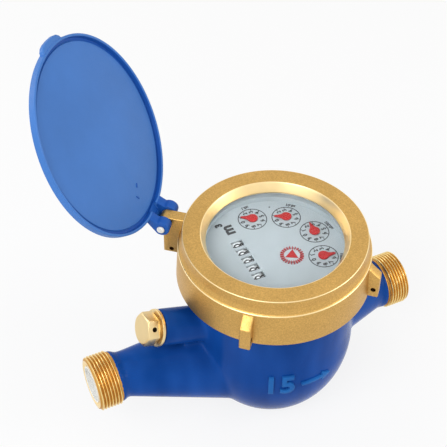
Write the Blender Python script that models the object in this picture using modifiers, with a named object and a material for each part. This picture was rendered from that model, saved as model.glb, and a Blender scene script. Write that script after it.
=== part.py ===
"""Multi-jet vane-wheel water meter, DN15, with its hinged lid standing open.

Metres, +Z up.  The pipe runs along X, inlet at -X, and the origin is the centre of the flat foot.
"""

import math

import bmesh
import bpy
from mathutils import Matrix, Vector

MM = 0.001
CLEARANCE = 0.3 * MM
TURN = 2.0 * math.pi

# Gear train: every decade is a 6 to 18 stage and a 6 to 20 stage
DECADES = 4
MODULE = 0.66 * MM
PINION_TEETH = 6
IDLER_TEETH = 18
WHEEL_TEETH = 20
ADDENDUM = 0.55 * MM
DEDENDUM = 0.66 * MM
TOOTH_ROOT_SHARE = 0.6
TOOTH_TIP_SHARE = 0.24
ARBOR_RADIUS = 0.5 * MM
PIVOT_HOLE = ARBOR_RADIUS + CLEARANCE
PIVOT_SINK = 1.2 * MM
GEAR_WIDTH = 1.2 * MM
LEVEL_PITCH = 1.5 * MM
STAGE_ONE = MODULE * (PINION_TEETH + IDLER_TEETH) / 2.0
STAGE_TWO = MODULE * (PINION_TEETH + WHEEL_TEETH) / 2.0
WHEEL_TIP = MODULE * WHEEL_TEETH / 2.0 + ADDENDUM

# Pointers and flow indicator
POINTER_OFFSET = 5.34 * MM
POINTER_CIRCLE = 2.0 * STAGE_TWO + POINTER_OFFSET
POINTER_FIRST_ANGLE = math.radians(-34.1)
POINTER_FOLD = 0.56 * MM
POINTER_PITCH = STAGE_ONE + STAGE_TWO - POINTER_FOLD
POINTER_STEP = 2.0 * math.asin(POINTER_PITCH / (2.0 * POINTER_CIRCLE))
POINTER_HUB = 2.5 * MM
POINTER_REACH = 5.7 * MM
POINTER_THICKNESS = 0.9 * MM
POINTER_NECK = math.radians(48.0)
POINTER_TIP = math.radians(3.0)
POINTER_HEADINGS = (math.radians(-12.0), math.radians(86.0), math.radians(153.0), math.radians(149.0))
STAR_X = 5.6 * MM
STAR_Y = -math.sqrt(STAGE_TWO ** 2 - STAR_X ** 2)
STAR_RADIUS = 5.1 * MM
STAR_POINTS = 18
STAR_NOTCH = 0.9 * MM
STAR_THICKNESS = 0.6 * MM

# Number wheels
WHEEL_COUNT = 5
WHEEL_ROW_X = -13.5 * MM
WHEEL_PITCH = 5.4 * MM
WHEEL_DROP = 0.4 * MM
NUMBER_WHEEL_RADIUS = 5.0 * MM
NUMBER_WHEEL_WIDTH = 4.6 * MM
NUMBER_SHAFT_RADIUS = 0.75 * MM
WINDOW_WIDTH = 3.8 * MM
WINDOW_LENGTH = 5.6 * MM
BRACKET_THICKNESS = 1.2 * MM
BRACKET_WIDTH = 4.0 * MM

# Register: case, plates and dial
CASE_MARGIN = 3.15 * MM
CASE_WALL = 1.8 * MM
CASE_FLOOR = 2.2 * MM
CASE_INNER = POINTER_CIRCLE + WHEEL_TIP + CASE_MARGIN
CASE_RADIUS = CASE_INNER + CASE_WALL
DIAL_THICKNESS = 0.8 * MM
DIAL_DROP = 0.8 * MM
PLATE_THICKNESS = 1.2 * MM
PLATE_DROP = 8.6 * MM
POST_RADIUS = 1.9 * MM
POST_ANGLES = (math.radians(-72.0), math.radians(205.0), math.radians(130.0))

# Body casting: the register sets the neck, and the neck the bowl
INLET_REACH = 93.5 * MM
OUTLET_REACH = 71.5 * MM
AXIS_HEIGHT = 41.0 * MM
NECK_BORE = CASE_RADIUS + CLEARANCE
NECK_WALL = 4.2 * MM
NECK_RADIUS = NECK_BORE + NECK_WALL
NECK_STEP = 0.4 * MM
NECK_FADE = 10.0 * MM
BOWL_RADIUS = NECK_RADIUS + NECK_STEP
BOWL_WALL = 4.2 * MM
BOWL_DROP = 1.0 * MM
BOWL_WIDEST_HEIGHT = AXIS_HEIGHT - BOWL_DROP
BOWL_CUT = 7.2 * MM
BOWL_DEPTH = BOWL_WIDEST_HEIGHT + BOWL_CUT
FOOT_HEIGHT = 0.8 * MM
FLOOR_THICKNESS = 5.0 * MM
SEAT_RISE = 1.0 * MM
SEAT_HEIGHT = AXIS_HEIGHT + SEAT_RISE
SEAT_THICKNESS = 3.0 * MM

# Pipe ends, G3/4 on each side
THREAD_ROOT = 12.06 * MM
THREAD_LENGTH = 11.0 * MM
END_CHAMFER = 0.8 * MM
COLLAR_STEP = 0.5 * MM
COLLAR_RADIUS = THREAD_ROOT + COLLAR_STEP
COLLAR_WIDTH = 1.0 * MM
COLLAR_TAPER = 3.0 * MM
BORE_RADIUS = 7.5 * MM
BORE_DEPTH = 18.0 * MM
STRAINER_STEP = 1.7 * MM
STRAINER_BORE = BORE_RADIUS + STRAINER_STEP
STRAINER_DEPTH = 10.0 * MM
STRAINER_WALL = 0.8 * MM
STRAINER_SLOTS = 5
CHANNEL_STEP = 0.7 * MM
CHANNEL_RADIUS = BORE_RADIUS - CHANNEL_STEP
CHANNEL_START = 16.0 * MM
CHANNEL_SHIFT = 11.0 * MM
INLET_ARM_END = 10.6 * MM
INLET_ARM_ROOT = 23.0 * MM
INLET_ARM_FLOOR = 3.5 * MM
INLET_ARM_DROP = AXIS_HEIGHT - INLET_ARM_ROOT - INLET_ARM_FLOOR
INLET_ROOT_X = 19.0 * MM
OUTLET_ARM_END = 12.0 * MM
OUTLET_ARM_ROOT = 22.0 * MM
OUTLET_ARM_RISE = 5.0 * MM
OUTLET_ROOT_X = 30.0 * MM

# Regulating boss above the inlet arm
BOSS_TILT = math.radians(18.0)
BOSS_REACH = 19.7 * MM
BOSS_RISE = 23.7 * MM
BOSS_FACE_X = -BOWL_RADIUS - BOSS_REACH
BOSS_FACE_HEIGHT = AXIS_HEIGHT + BOSS_RISE
BOSS_RADIUS = 8.7 * MM
BOSS_BORE = 4.0 * MM
BOSS_MOUTH = 6.2 * MM
BOSS_MOUTH_DEPTH = 7.0 * MM
WEB_WIDTH = 8.0 * MM
BYPASS_RADIUS = 2.2 * MM
BYPASS_REACH = 3.5 * MM
BYPASS_X = -BOWL_RADIUS - BYPASS_REACH
SCREW_LENGTH = 8.0 * MM
SCREW_SLOT_WIDTH = 1.2 * MM
SCREW_SLOT_DEPTH = 1.6 * MM
PLUG_FLANGE = 1.6 * MM
PLUG_WASHER = 1.0 * MM
PLUG_SHOULDER = 1.7 * MM
PLUG_HEX = 2.0 * (BOSS_RADIUS - PLUG_SHOULDER)
PLUG_HEX_HEIGHT = 5.2 * MM
SEAL_HOLE = 0.9 * MM

# Filter basket and jet chamber, from the seat's edge inwards
FLANGE_GAP = 5.5 * MM
FLANGE_RADIUS = NECK_BORE - FLANGE_GAP
FLANGE_THICKNESS = 2.4 * MM
SEAT_LAP = 4.5 * MM
SEAT_BORE = FLANGE_RADIUS - SEAT_LAP
BASKET_RADIUS = SEAT_BORE - CLEARANCE
BASKET_WALL = 0.9 * MM
BASKET_SIDE_GAP = 4.6 * MM
BASKET_TAPER = 5.6 * MM
BASKET_BASE_RADIUS = BASKET_RADIUS - BASKET_TAPER
BASKET_SLOTS = 20
BASKET_SLOT_WIDTH = 2.2 * MM
CHAMBER_GAP = 1.9 * MM
CHAMBER_RADIUS = BASKET_RADIUS - BASKET_WALL - CHAMBER_GAP
CHAMBER_WALL = 1.8 * MM
CHAMBER_CHAMFER = 3.5 * MM
CHAMBER_FLOOR_GAP = 2.6 * MM
CHAMBER_RISE = 15.0 * MM
CHAMBER_HEIGHT = SEAT_HEIGHT + CHAMBER_RISE
JET_COUNT = 6
JET_WIDTH = 3.0 * MM
JET_HEIGHT = 7.0 * MM
JET_LEAN = math.radians(48.0)
COVER_THICKNESS = 3.0 * MM

# Impeller
VANE_COUNT = 7
VANE_GAP = 1.6 * MM
VANE_RADIUS = CHAMBER_RADIUS - CHAMBER_WALL - VANE_GAP
VANE_THICKNESS = 1.1 * MM
VANE_HEIGHT = 24.0 * MM
HUB_RADIUS = 3.4 * MM
HUB_DROP = 1.0 * MM
HUB_RISE = 2.0 * MM
SHAFT_RADIUS = 1.3 * MM
PIVOT_RADIUS = 1.0 * MM
PIVOT_HEIGHT = 6.0 * MM
IMPELLER_GAP = 1.0 * MM

# Glass stack
GASKET_THICKNESS = 1.5 * MM
GASKET_LAP = 1.5 * MM
GASKET_INNER = NECK_BORE - GASKET_LAP
GLASS_INSET = 1.6 * MM
GLASS_RADIUS = NECK_RADIUS - GLASS_INSET
GLASS_THICKNESS = 4.5 * MM
WASHER_THICKNESS = 0.6 * MM

# Cover ring
LIP_THICKNESS = 5.0 * MM
WINDOW_LAP = 3.2 * MM
WINDOW_RADIUS = NECK_BORE - WINDOW_LAP
WASHER_STEP = 0.9 * MM
WASHER_INNER = WINDOW_RADIUS + WASHER_STEP
BEVEL_WIDTH = 2.3 * MM
BEVEL_RADIUS = WINDOW_RADIUS + BEVEL_WIDTH
BEVEL_LAND = 0.5 * MM
RING_WALL = 6.1 * MM
RING_RADIUS = NECK_RADIUS + CLEARANCE + RING_WALL
RING_TAPER = 0.9 * MM
SHOULDER_RADIUS = RING_RADIUS - RING_TAPER
SHOULDER_WIDTH = 2.0 * MM
CROWN_RADIUS = SHOULDER_RADIUS - SHOULDER_WIDTH
CROWN_HEIGHT = 7.4 * MM
RING_HEIGHT = 25.1 * MM
EDGE_ROUND = 0.7 * MM
LUG_WIDTH = 5.2 * MM
LUG_REACH = 4.5 * MM
LUG_RADIUS = RING_RADIUS + LUG_REACH
FIRST_LUG_ANGLE = math.radians(228.0)
LUG_DROP = 13.0 * MM
LUG_SINK = 1.4 * MM
SEAL_HOLE_RISE = 4.4 * MM

# Lid and hinge
HINGE_ANGLE = math.radians(140.2)
HINGE_STANDOFF = 6.4 * MM
HINGE_RADIUS = RING_RADIUS + HINGE_STANDOFF
HINGE_DROP = 3.4 * MM
HINGE_PIN_RADIUS = 1.3 * MM
HINGE_PIN_HEAD = 1.0 * MM
HINGE_PIN_FLARE = 0.5 * MM
KNUCKLE_RADIUS = 2.6 * MM
KNUCKLE_WIDTH = 5.8 * MM
HINGE_LUG_RISE = 2.6 * MM
HINGE_LUG_FACE = 0.6 * MM
EAR_WIDTH = 5.0 * MM
EAR_RADIUS = 3.9 * MM
EAR_OVERLAP = 1.0 * MM
LID_OPENING = math.radians(119.7)
LID_OVERHANG = 0.5 * MM
LID_RADIUS = RING_RADIUS + LID_OVERHANG
LID_RIM_WIDTH = 2.7 * MM
LID_RIM_INNER = LID_RADIUS - LID_RIM_WIDTH
LID_RIM_DEPTH = 1.6 * MM
LID_THICKNESS = 1.9 * MM
LID_CROWN = 1.0 * MM
TAB_REACH = 3.0 * MM
TAB_BASE = 15.0 * MM
TAB_TIP = 8.0 * MM
TAB_ANGLE = math.radians(6.2)

# Facets of the round pieces
FINE = 36
MEDIUM = 24
PIPE = 18
COARSE = 12
SMALL = 8

# Heights that follow from the stack, from the basket up to the ring
BASKET_BASE = BOWL_WIDEST_HEIGHT - (BOWL_DEPTH - BOWL_WALL) * math.sqrt(
    1.0 - ((BASKET_BASE_RADIUS + BASKET_SIDE_GAP) / (BOWL_RADIUS - BOWL_WALL)) ** 2)
CHAMBER_BASE = BASKET_BASE + BASKET_WALL + CHAMBER_FLOOR_GAP
CHAMBER_FLOOR = CHAMBER_BASE + CHAMBER_WALL
IMPELLER_BASE = CHAMBER_FLOOR + IMPELLER_GAP
VANE_BASE = IMPELLER_BASE + HUB_DROP
FLANGE_BASE = SEAT_HEIGHT + CLEARANCE
COVER_BASE = CHAMBER_HEIGHT + CLEARANCE
CASE_BASE = COVER_BASE + COVER_THICKNESS + CLEARANCE
CASE_INSIDE = CASE_BASE + CASE_FLOOR
FIRST_LEVEL = CASE_INSIDE + 2.0 * CLEARANCE
TRAIN_TOP = FIRST_LEVEL + 2.0 * DECADES * LEVEL_PITCH + GEAR_WIDTH
NUMBER_AXIS_HEIGHT = TRAIN_TOP + WHEEL_DROP + NUMBER_WHEEL_RADIUS
DIAL_BASE = NUMBER_AXIS_HEIGHT + NUMBER_WHEEL_RADIUS + CLEARANCE
DIAL_TOP = DIAL_BASE + DIAL_THICKNESS
CASE_TOP = DIAL_BASE - CLEARANCE
PLATE_BASE = DIAL_TOP - PLATE_DROP
PLATE_TOP = PLATE_BASE + PLATE_THICKNESS
POINTER_BASE = DIAL_TOP + CLEARANCE
NECK_HEIGHT = DIAL_TOP + DIAL_DROP
GASKET_BASE = NECK_HEIGHT + CLEARANCE
GLASS_BASE = GASKET_BASE + GASKET_THICKNESS + CLEARANCE
WASHER_BASE = GLASS_BASE + GLASS_THICKNESS + CLEARANCE
LIP_BASE = WASHER_BASE + WASHER_THICKNESS + CLEARANCE
RING_TOP = LIP_BASE + LIP_THICKNESS
RING_BASE = RING_TOP - RING_HEIGHT
SHOULDER_HEIGHT = RING_TOP - CROWN_HEIGHT
HINGE_HEIGHT = RING_TOP - HINGE_DROP


def clear_scene():
    for obj in list(bpy.data.objects):
        bpy.data.objects.remove(obj, do_unlink=True)


def make_collection(name):
    collection = bpy.data.collections.new(name)
    bpy.context.scene.collection.children.link(collection)
    return collection


def make_material(name, colour, roughness, metallic=0.0, transmission=0.0):
    material = bpy.data.materials.new(name)
    material.use_nodes = True
    shader = material.node_tree.nodes["Principled BSDF"]
    shader.inputs["Base Color"].default_value = (*colour, 1.0)
    shader.inputs["Roughness"].default_value = roughness
    shader.inputs["Metallic"].default_value = metallic
    shader.inputs["Transmission Weight"].default_value = transmission
    material.diffuse_color = (*colour, 1.0)
    return material


clear_scene()
METER = make_collection("water_meter")
CUTTERS = make_collection("cutters")
BLUE_PAINT = make_material("blue_paint", (0.01, 0.07, 0.36), 0.25)
BLUE_PLASTIC = make_material("blue_plastic", (0.05, 0.2, 0.6), 0.4)
BRASS = make_material("brass", (0.72, 0.48, 0.18), 0.35, metallic=1.0)
STEEL = make_material("stainless_steel", (0.6, 0.6, 0.6), 0.3, metallic=1.0)
RUBBER = make_material("black_rubber", (0.02, 0.02, 0.02), 0.7)
GLASS = make_material("glass", (0.9, 0.95, 0.95), 0.02, transmission=1.0)
WHITE = make_material("white_plastic", (0.8, 0.8, 0.78), 0.45)
GREY = make_material("grey_plastic", (0.35, 0.37, 0.4), 0.5)
DIAL_GREY = make_material("dial_grey", (0.55, 0.62, 0.66), 0.4)
RED = make_material("red_plastic", (0.7, 0.03, 0.03), 0.4)


def add_object(name, mesh, material, collection=None):
    obj = bpy.data.objects.new(name, mesh)
    (collection or METER).objects.link(obj)
    mesh.materials.append(material)
    return obj


def shade_round(mesh, angle=math.radians(35.0)):
    mesh.shade_smooth()
    mesh.set_sharp_from_angle(angle=angle)


def turned(name, profile, material, steps=FINE, hollow=False):
    """A profile of (radius, height) points, run down its outer side and turned round Z."""
    mesh = bpy.data.meshes.new(name)
    points = [(radius, 0.0, height) for radius, height in profile]
    edges = [(i, i + 1) for i in range(len(points) - 1)]
    if hollow:
        edges.append((len(points) - 1, 0))
    mesh.from_pydata(points, edges, [])
    obj = add_object(name, mesh, material)
    screw = obj.modifiers.new("turn", "SCREW")
    screw.axis = "Z"
    screw.angle = TURN
    screw.steps = steps
    screw.render_steps = steps
    screw.use_merge_vertices = True
    screw.merge_threshold = 0.01 * MM
    screw.use_smooth_shade = True
    return obj


def rod(name, radius, low, high, material, steps=COARSE):
    return turned(name, [(0.0, high), (radius, high), (radius, low), (0.0, low)], material, steps)


def tube(name, inner, outer, low, high, material, steps=FINE):
    profile = [(inner, high), (outer, high), (outer, low), (inner, low)]
    return turned(name, profile, material, steps, hollow=True)


def circle(radius, count, centre=(0.0, 0.0), start=0.0):
    angles = [start + TURN * i / count for i in range(count)]
    return [(centre[0] + radius * math.cos(a), centre[1] + radius * math.sin(a)) for a in angles]


def arc(centre, radius, first, last, count):
    """Points on an arc, its ends included."""
    angles = [first + (last - first) * i / (count - 1) for i in range(count)]
    return [(centre[0] + radius * math.cos(a), centre[1] + radius * math.sin(a)) for a in angles]


def rectangle(width, length, centre=(0.0, 0.0)):
    x, y = width / 2.0, length / 2.0
    corners = ((-x, -y), (x, -y), (x, y), (-x, y))
    return [(centre[0] + a, centre[1] + b) for a, b in corners]


def plate(name, loops, low, high, material):
    """A flat outline, with any holes, drawn in XY and made solid from low to high."""
    curve = bpy.data.curves.new(name, "CURVE")
    curve.dimensions = "2D"
    curve.fill_mode = "BOTH"
    curve.extrude = (high - low) / 2.0
    for loop in loops:
        spline = curve.splines.new("POLY")
        spline.points.add(len(loop) - 1)
        for point, (x, y) in zip(spline.points, loop):
            point.co = (x, y, 0.0, 1.0)
        spline.use_cyclic_u = True
    guide = bpy.data.objects.new(name + "_outline", curve)
    METER.objects.link(guide)
    evaluated = guide.evaluated_get(bpy.context.evaluated_depsgraph_get())
    mesh = bpy.data.meshes.new_from_object(evaluated)
    bpy.data.objects.remove(guide, do_unlink=True)
    work = bmesh.new()
    work.from_mesh(mesh)
    bmesh.ops.remove_doubles(work, verts=work.verts, dist=0.005 * MM)
    bmesh.ops.translate(work, verts=work.verts, vec=(0.0, 0.0, (high + low) / 2.0))
    bmesh.ops.recalc_face_normals(work, faces=work.faces)
    work.to_mesh(mesh)
    work.free()
    mesh.materials.clear()
    mesh.name = name
    return add_object(name, mesh, material)


def block(name, size, centre, material):
    mesh = bpy.data.meshes.new(name)
    work = bmesh.new()
    bmesh.ops.create_cube(work, size=1.0)
    bmesh.ops.scale(work, vec=size, verts=work.verts)
    bmesh.ops.translate(work, vec=centre, verts=work.verts)
    work.to_mesh(mesh)
    work.free()
    return add_object(name, mesh, material)


def copies_round(name, make, count, start=0.0):
    """One mesh of count shapes round Z.  make(name) returns the first one."""
    first = make(name)
    source = bpy.data.meshes.new_from_object(
        first.evaluated_get(bpy.context.evaluated_depsgraph_get()))
    work = bmesh.new()
    for i in range(count):
        turn = Matrix.Rotation(start + TURN * i / count, 4, "Z") @ first.matrix_basis
        copy = source.copy()
        copy.transform(turn)
        work.from_mesh(copy)
        bpy.data.meshes.remove(copy)
    mesh = bpy.data.meshes.new(name)
    work.to_mesh(mesh)
    work.free()
    material = source.materials[0]
    bpy.data.objects.remove(first, do_unlink=True)
    return add_object(name, mesh, material)


def along(obj, base, direction):
    """Stands obj's Z along direction, with its origin at base."""
    turn = Vector(direction).to_track_quat("Z", "Y").to_matrix().to_4x4()
    obj.matrix_basis = Matrix.Translation(base) @ turn
    return obj


def combine(target, tool, operation):
    """A Boolean on target, with the tool kept as a hidden wire helper."""
    modifier = target.modifiers.new(tool.name, "BOOLEAN")
    modifier.operation = operation
    modifier.solver = "EXACT"
    modifier.object = tool
    METER.objects.unlink(tool)
    CUTTERS.objects.link(tool)
    tool.hide_render = True
    tool.display_type = "WIRE"
    tool.parent = target.parent
    return target


def cut(target, *tools):
    for tool in tools:
        combine(target, tool, "DIFFERENCE")
    return target


def join(target, *tools):
    for tool in tools:
        combine(target, tool, "UNION")
    return target


def polar(radius, angle):
    return (radius * math.cos(angle), radius * math.sin(angle))


# Body casting


def bowl_radius_at(height, inset=0.0):
    """The bowl is half an ellipse, cut flat by the foot."""
    depth = (BOWL_WIDEST_HEIGHT - height) / (BOWL_DEPTH - inset)
    return (BOWL_RADIUS - inset) * math.sqrt(max(0.0, 1.0 - depth ** 2))


def bowl_curve(top, bottom, inset, count):
    heights = [top + (bottom - top) * i / (count - 1) for i in range(count)]
    return [(bowl_radius_at(height, inset), height) for height in heights]


def boss_frame():
    outward = Vector((-math.cos(BOSS_TILT), 0.0, math.sin(BOSS_TILT)))
    return Vector((BOSS_FACE_X, 0.0, BOSS_FACE_HEIGHT)), outward


def pipe_reach(side):
    return INLET_REACH if side < 0 else OUTLET_REACH


def pipe_end(side):
    """The screwed end and its collar, turned round the pipe axis."""
    name = "inlet_end" if side < 0 else "outlet_end"
    arm_end = INLET_ARM_END if side < 0 else OUTLET_ARM_END
    taper_end = COLLAR_WIDTH + COLLAR_TAPER
    inside = taper_end + (arm_end - BORE_RADIUS)
    profile = [
        (0.0, THREAD_LENGTH),
        (THREAD_ROOT - END_CHAMFER, THREAD_LENGTH),
        (THREAD_ROOT, THREAD_LENGTH - END_CHAMFER),
        (THREAD_ROOT, 0.0),
        (COLLAR_RADIUS, 0.0),
        (COLLAR_RADIUS, -COLLAR_WIDTH),
        (arm_end, -taper_end),
        (arm_end, -inside),
        (0.0, -inside),
    ]
    end = turned(name, profile, BLUE_PAINT, PIPE)
    return along(end, (side * (pipe_reach(side) - THREAD_LENGTH), 0.0, AXIS_HEIGHT), (side, 0.0, 0.0))


def arm(side):
    """The arm swells from the collar to the bowl, down at the inlet and up at the outlet."""
    name = "inlet_arm" if side < 0 else "outlet_arm"
    end_radius = INLET_ARM_END if side < 0 else OUTLET_ARM_END
    root_radius = INLET_ARM_ROOT if side < 0 else OUTLET_ARM_ROOT
    shift = -INLET_ARM_DROP if side < 0 else OUTLET_ARM_RISE
    start_x = pipe_reach(side) - THREAD_LENGTH - COLLAR_WIDTH - COLLAR_TAPER
    start = Vector((side * start_x, 0.0, AXIS_HEIGHT))
    root_x = INLET_ROOT_X if side < 0 else OUTLET_ROOT_X
    root = Vector((side * root_x, 0.0, AXIS_HEIGHT + shift))
    length = (start - root).length
    profile = [(0.0, length), (end_radius, length), (root_radius, 0.0), (0.0, 0.0)]
    return along(turned(name, profile, BLUE_PAINT, PIPE), root, start - root)


def channel(side):
    """The waterway leaves the pipe axis for the space below or above the seat."""
    name = "inlet_channel" if side < 0 else "outlet_channel"
    start = Vector((side * (pipe_reach(side) - CHANNEL_START), 0.0, AXIS_HEIGHT))
    end = Vector((side * (NECK_BORE - BOWL_WALL), 0.0, AXIS_HEIGHT + side * CHANNEL_SHIFT))
    passage = rod(name, CHANNEL_RADIUS, 0.0, (start - end).length, BLUE_PAINT, COARSE)
    return along(passage, end, start - end)


def end_bore(side):
    """The bore in the screwed end, wider at the inlet for the strainer."""
    name = "inlet_bore" if side < 0 else "outlet_bore"
    profile = [(BORE_RADIUS, CLEARANCE), (BORE_RADIUS, -BORE_DEPTH), (0.0, -BORE_DEPTH)]
    if side < 0:
        profile[:1] = [
            (STRAINER_BORE, CLEARANCE), (STRAINER_BORE, -STRAINER_DEPTH), (BORE_RADIUS, -STRAINER_DEPTH),
        ]
    bore = turned(name, [(0.0, CLEARANCE)] + profile, BLUE_PAINT, PIPE)
    return along(bore, (side * pipe_reach(side), 0.0, AXIS_HEIGHT), (side, 0.0, 0.0))


def body_cavity():
    """The space below the seat, the seat's bore and the space above it, as one turned cutter."""
    seat_base = SEAT_HEIGHT - SEAT_THICKNESS
    profile = [(0.0, NECK_HEIGHT + CLEARANCE), (NECK_BORE, NECK_HEIGHT + CLEARANCE)]
    profile += [(NECK_BORE, SEAT_HEIGHT), (SEAT_BORE, SEAT_HEIGHT), (SEAT_BORE, seat_base)]
    profile += bowl_curve(seat_base, FLOOR_THICKNESS, BOWL_WALL, 4)
    profile += [(0.0, FLOOR_THICKNESS)]
    return turned("body_cavity", profile, BLUE_PAINT, MEDIUM)


def make_body():
    neck_fade = BOWL_WIDEST_HEIGHT + NECK_FADE
    profile = [(0.0, NECK_HEIGHT), (NECK_RADIUS, NECK_HEIGHT), (NECK_RADIUS, neck_fade)]
    profile += bowl_curve(BOWL_WIDEST_HEIGHT, FOOT_HEIGHT, 0.0, 6)
    profile += [(bowl_radius_at(FOOT_HEIGHT), 0.0), (0.0, 0.0)]
    body = turned("meter_body", profile, BLUE_PAINT)
    face, outward = boss_frame()
    boss_reach = (abs(BOSS_FACE_X) - NECK_BORE) / math.cos(BOSS_TILT)
    boss = rod("boss", BOSS_RADIUS, -boss_reach, 0.0, BLUE_PAINT, PIPE)
    along(boss, face, outward)
    web_height = BOSS_FACE_HEIGHT - AXIS_HEIGHT - BOSS_RADIUS / 2.0
    web_length = abs(BYPASS_X) - NECK_BORE + WEB_WIDTH / 2.0
    web = block("boss_web", (web_length, WEB_WIDTH, web_height),
                (-NECK_BORE - web_length / 2.0, 0.0, AXIS_HEIGHT + web_height / 2.0), BLUE_PAINT)
    join(body, arm(-1), arm(1), pipe_end(-1), pipe_end(1), boss, web)
    mouth = turned("boss_bore", [
        (0.0, CLEARANCE),
        (BOSS_MOUTH, CLEARANCE),
        (BOSS_MOUTH, -BOSS_MOUTH_DEPTH),
        (BOSS_BORE, -BOSS_MOUTH_DEPTH),
        (BOSS_BORE, -boss_reach - BOWL_WALL),
        (0.0, -boss_reach - BOWL_WALL),
    ], BLUE_PAINT, COARSE)
    along(mouth, face, outward)
    bypass = rod("bypass", BYPASS_RADIUS, AXIS_HEIGHT - CHANNEL_SHIFT / 2.0, BOSS_FACE_HEIGHT - BOSS_BORE,
                 BLUE_PAINT, SMALL)
    bypass.location.x = BYPASS_X
    cut(body, join(body_cavity(), channel(-1), channel(1), end_bore(-1), end_bore(1), mouth, bypass))


def make_strainer():
    """A moulded cup with a slotted end, pushed into the inlet."""
    outer = STRAINER_BORE - CLEARANCE
    inner = outer - STRAINER_WALL
    depth = STRAINER_DEPTH - CLEARANCE
    cup = turned("inlet_strainer", [
        (0.0, STRAINER_WALL), (inner, STRAINER_WALL), (inner, depth), (outer, depth), (outer, 0.0), (0.0, 0.0),
    ], WHITE, PIPE)
    base = Vector((-INLET_REACH + STRAINER_DEPTH - CLEARANCE, 0.0, AXIS_HEIGHT))
    along(cup, base, (-1.0, 0.0, 0.0))
    slotted = inner - STRAINER_WALL
    pitch = 2.0 * slotted / STRAINER_SLOTS
    for i in range(STRAINER_SLOTS):
        offset = (i - (STRAINER_SLOTS - 1) / 2.0) * pitch
        half = math.sqrt(slotted ** 2 - offset ** 2) - STRAINER_WALL / 2.0
        slot = block(f"strainer_slot_{i + 1}", (pitch / 2.0, 2.0 * half, 3.0 * STRAINER_WALL),
                     (offset, 0.0, STRAINER_WALL / 2.0), WHITE)
        slot.matrix_basis = cup.matrix_basis.copy()
        cut(cup, slot)


def make_plug():
    """The regulating screw, the washer and the sealed hexagon plug."""
    face, outward = boss_frame()
    screw_top = -BOSS_MOUTH_DEPTH - CLEARANCE
    screw = rod("regulating_screw", BOSS_BORE - CLEARANCE, screw_top - SCREW_LENGTH, screw_top, BRASS, COARSE)
    slot = block("screw_slot", (3.0 * BOSS_BORE, SCREW_SLOT_WIDTH, 2.0 * SCREW_SLOT_DEPTH),
                 (0.0, 0.0, screw_top), BRASS)
    cut(along(screw, face, outward), along(slot, face, outward))
    washer = tube("plug_washer", BOSS_MOUTH + CLEARANCE, BOSS_RADIUS - CLEARANCE,
                  CLEARANCE, CLEARANCE + PLUG_WASHER, RUBBER, PIPE)
    along(washer, face, outward)
    flange_base = PLUG_WASHER + 2.0 * CLEARANCE
    hex_base = flange_base + PLUG_FLANGE
    hex_top = hex_base + PLUG_HEX_HEIGHT
    plug = turned("regulating_plug", [
        (0.0, hex_base + CLEARANCE),
        (BOSS_RADIUS, hex_base + CLEARANCE),
        (BOSS_RADIUS, flange_base),
        (BOSS_MOUTH - CLEARANCE, flange_base),
        (BOSS_MOUTH - CLEARANCE, -BOSS_MOUTH_DEPTH + CLEARANCE),
        (0.0, -BOSS_MOUTH_DEPTH + CLEARANCE),
    ], BRASS, PIPE)
    corner = PLUG_HEX / math.sqrt(3.0)
    head = plate("plug_head", [circle(corner, 6, start=math.radians(30.0))], hex_base, hex_top, BRASS)
    hole = rod("plug_seal_hole", SEAL_HOLE, -PLUG_HEX, PLUG_HEX, BRASS, SMALL)
    turn = along(plug, face, outward).matrix_basis
    head.matrix_basis = turn.copy()
    across = Matrix.Translation((0.0, 0.0, (hex_base + hex_top) / 2.0)) @ Matrix.Rotation(TURN / 4.0, 4, "Y")
    hole.matrix_basis = turn @ across
    join(plug, head)
    cut(plug, hole)


# Measuring chamber


def make_basket():
    base = BASKET_BASE
    top = SEAT_HEIGHT
    inner = BASKET_RADIUS - BASKET_WALL
    basket = turned("filter_basket", [
        (0.0, base + BASKET_WALL), (inner - BASKET_TAPER, base + BASKET_WALL), (inner, base + BASKET_TAPER),
        (inner, top), (BASKET_RADIUS, top), (BASKET_RADIUS, base + BASKET_TAPER),
        (BASKET_BASE_RADIUS, base), (0.0, base),
    ], WHITE, MEDIUM)
    low = base + BASKET_TAPER + 2.0 * BASKET_WALL
    high = SEAT_HEIGHT - SEAT_THICKNESS - BASKET_WALL

    def slot(name):
        return block(name, (4.0 * BASKET_WALL, BASKET_SLOT_WIDTH, high - low),
                     (BASKET_RADIUS, 0.0, (high + low) / 2.0), WHITE)

    cut(basket, copies_round("basket_slots", slot, BASKET_SLOTS))


def jet_slots(name, height, lean):
    def slot(label):
        jet = block(label, (4.0 * CHAMBER_WALL / math.cos(lean), JET_WIDTH, JET_HEIGHT), (0.0, 0.0, 0.0), WHITE)
        jet.matrix_basis = (Matrix.Translation((CHAMBER_RADIUS - CHAMBER_WALL / 2.0, 0.0, height))
                            @ Matrix.Rotation(lean, 4, "Z"))
        return jet

    return copies_round(name, slot, JET_COUNT)


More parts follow.
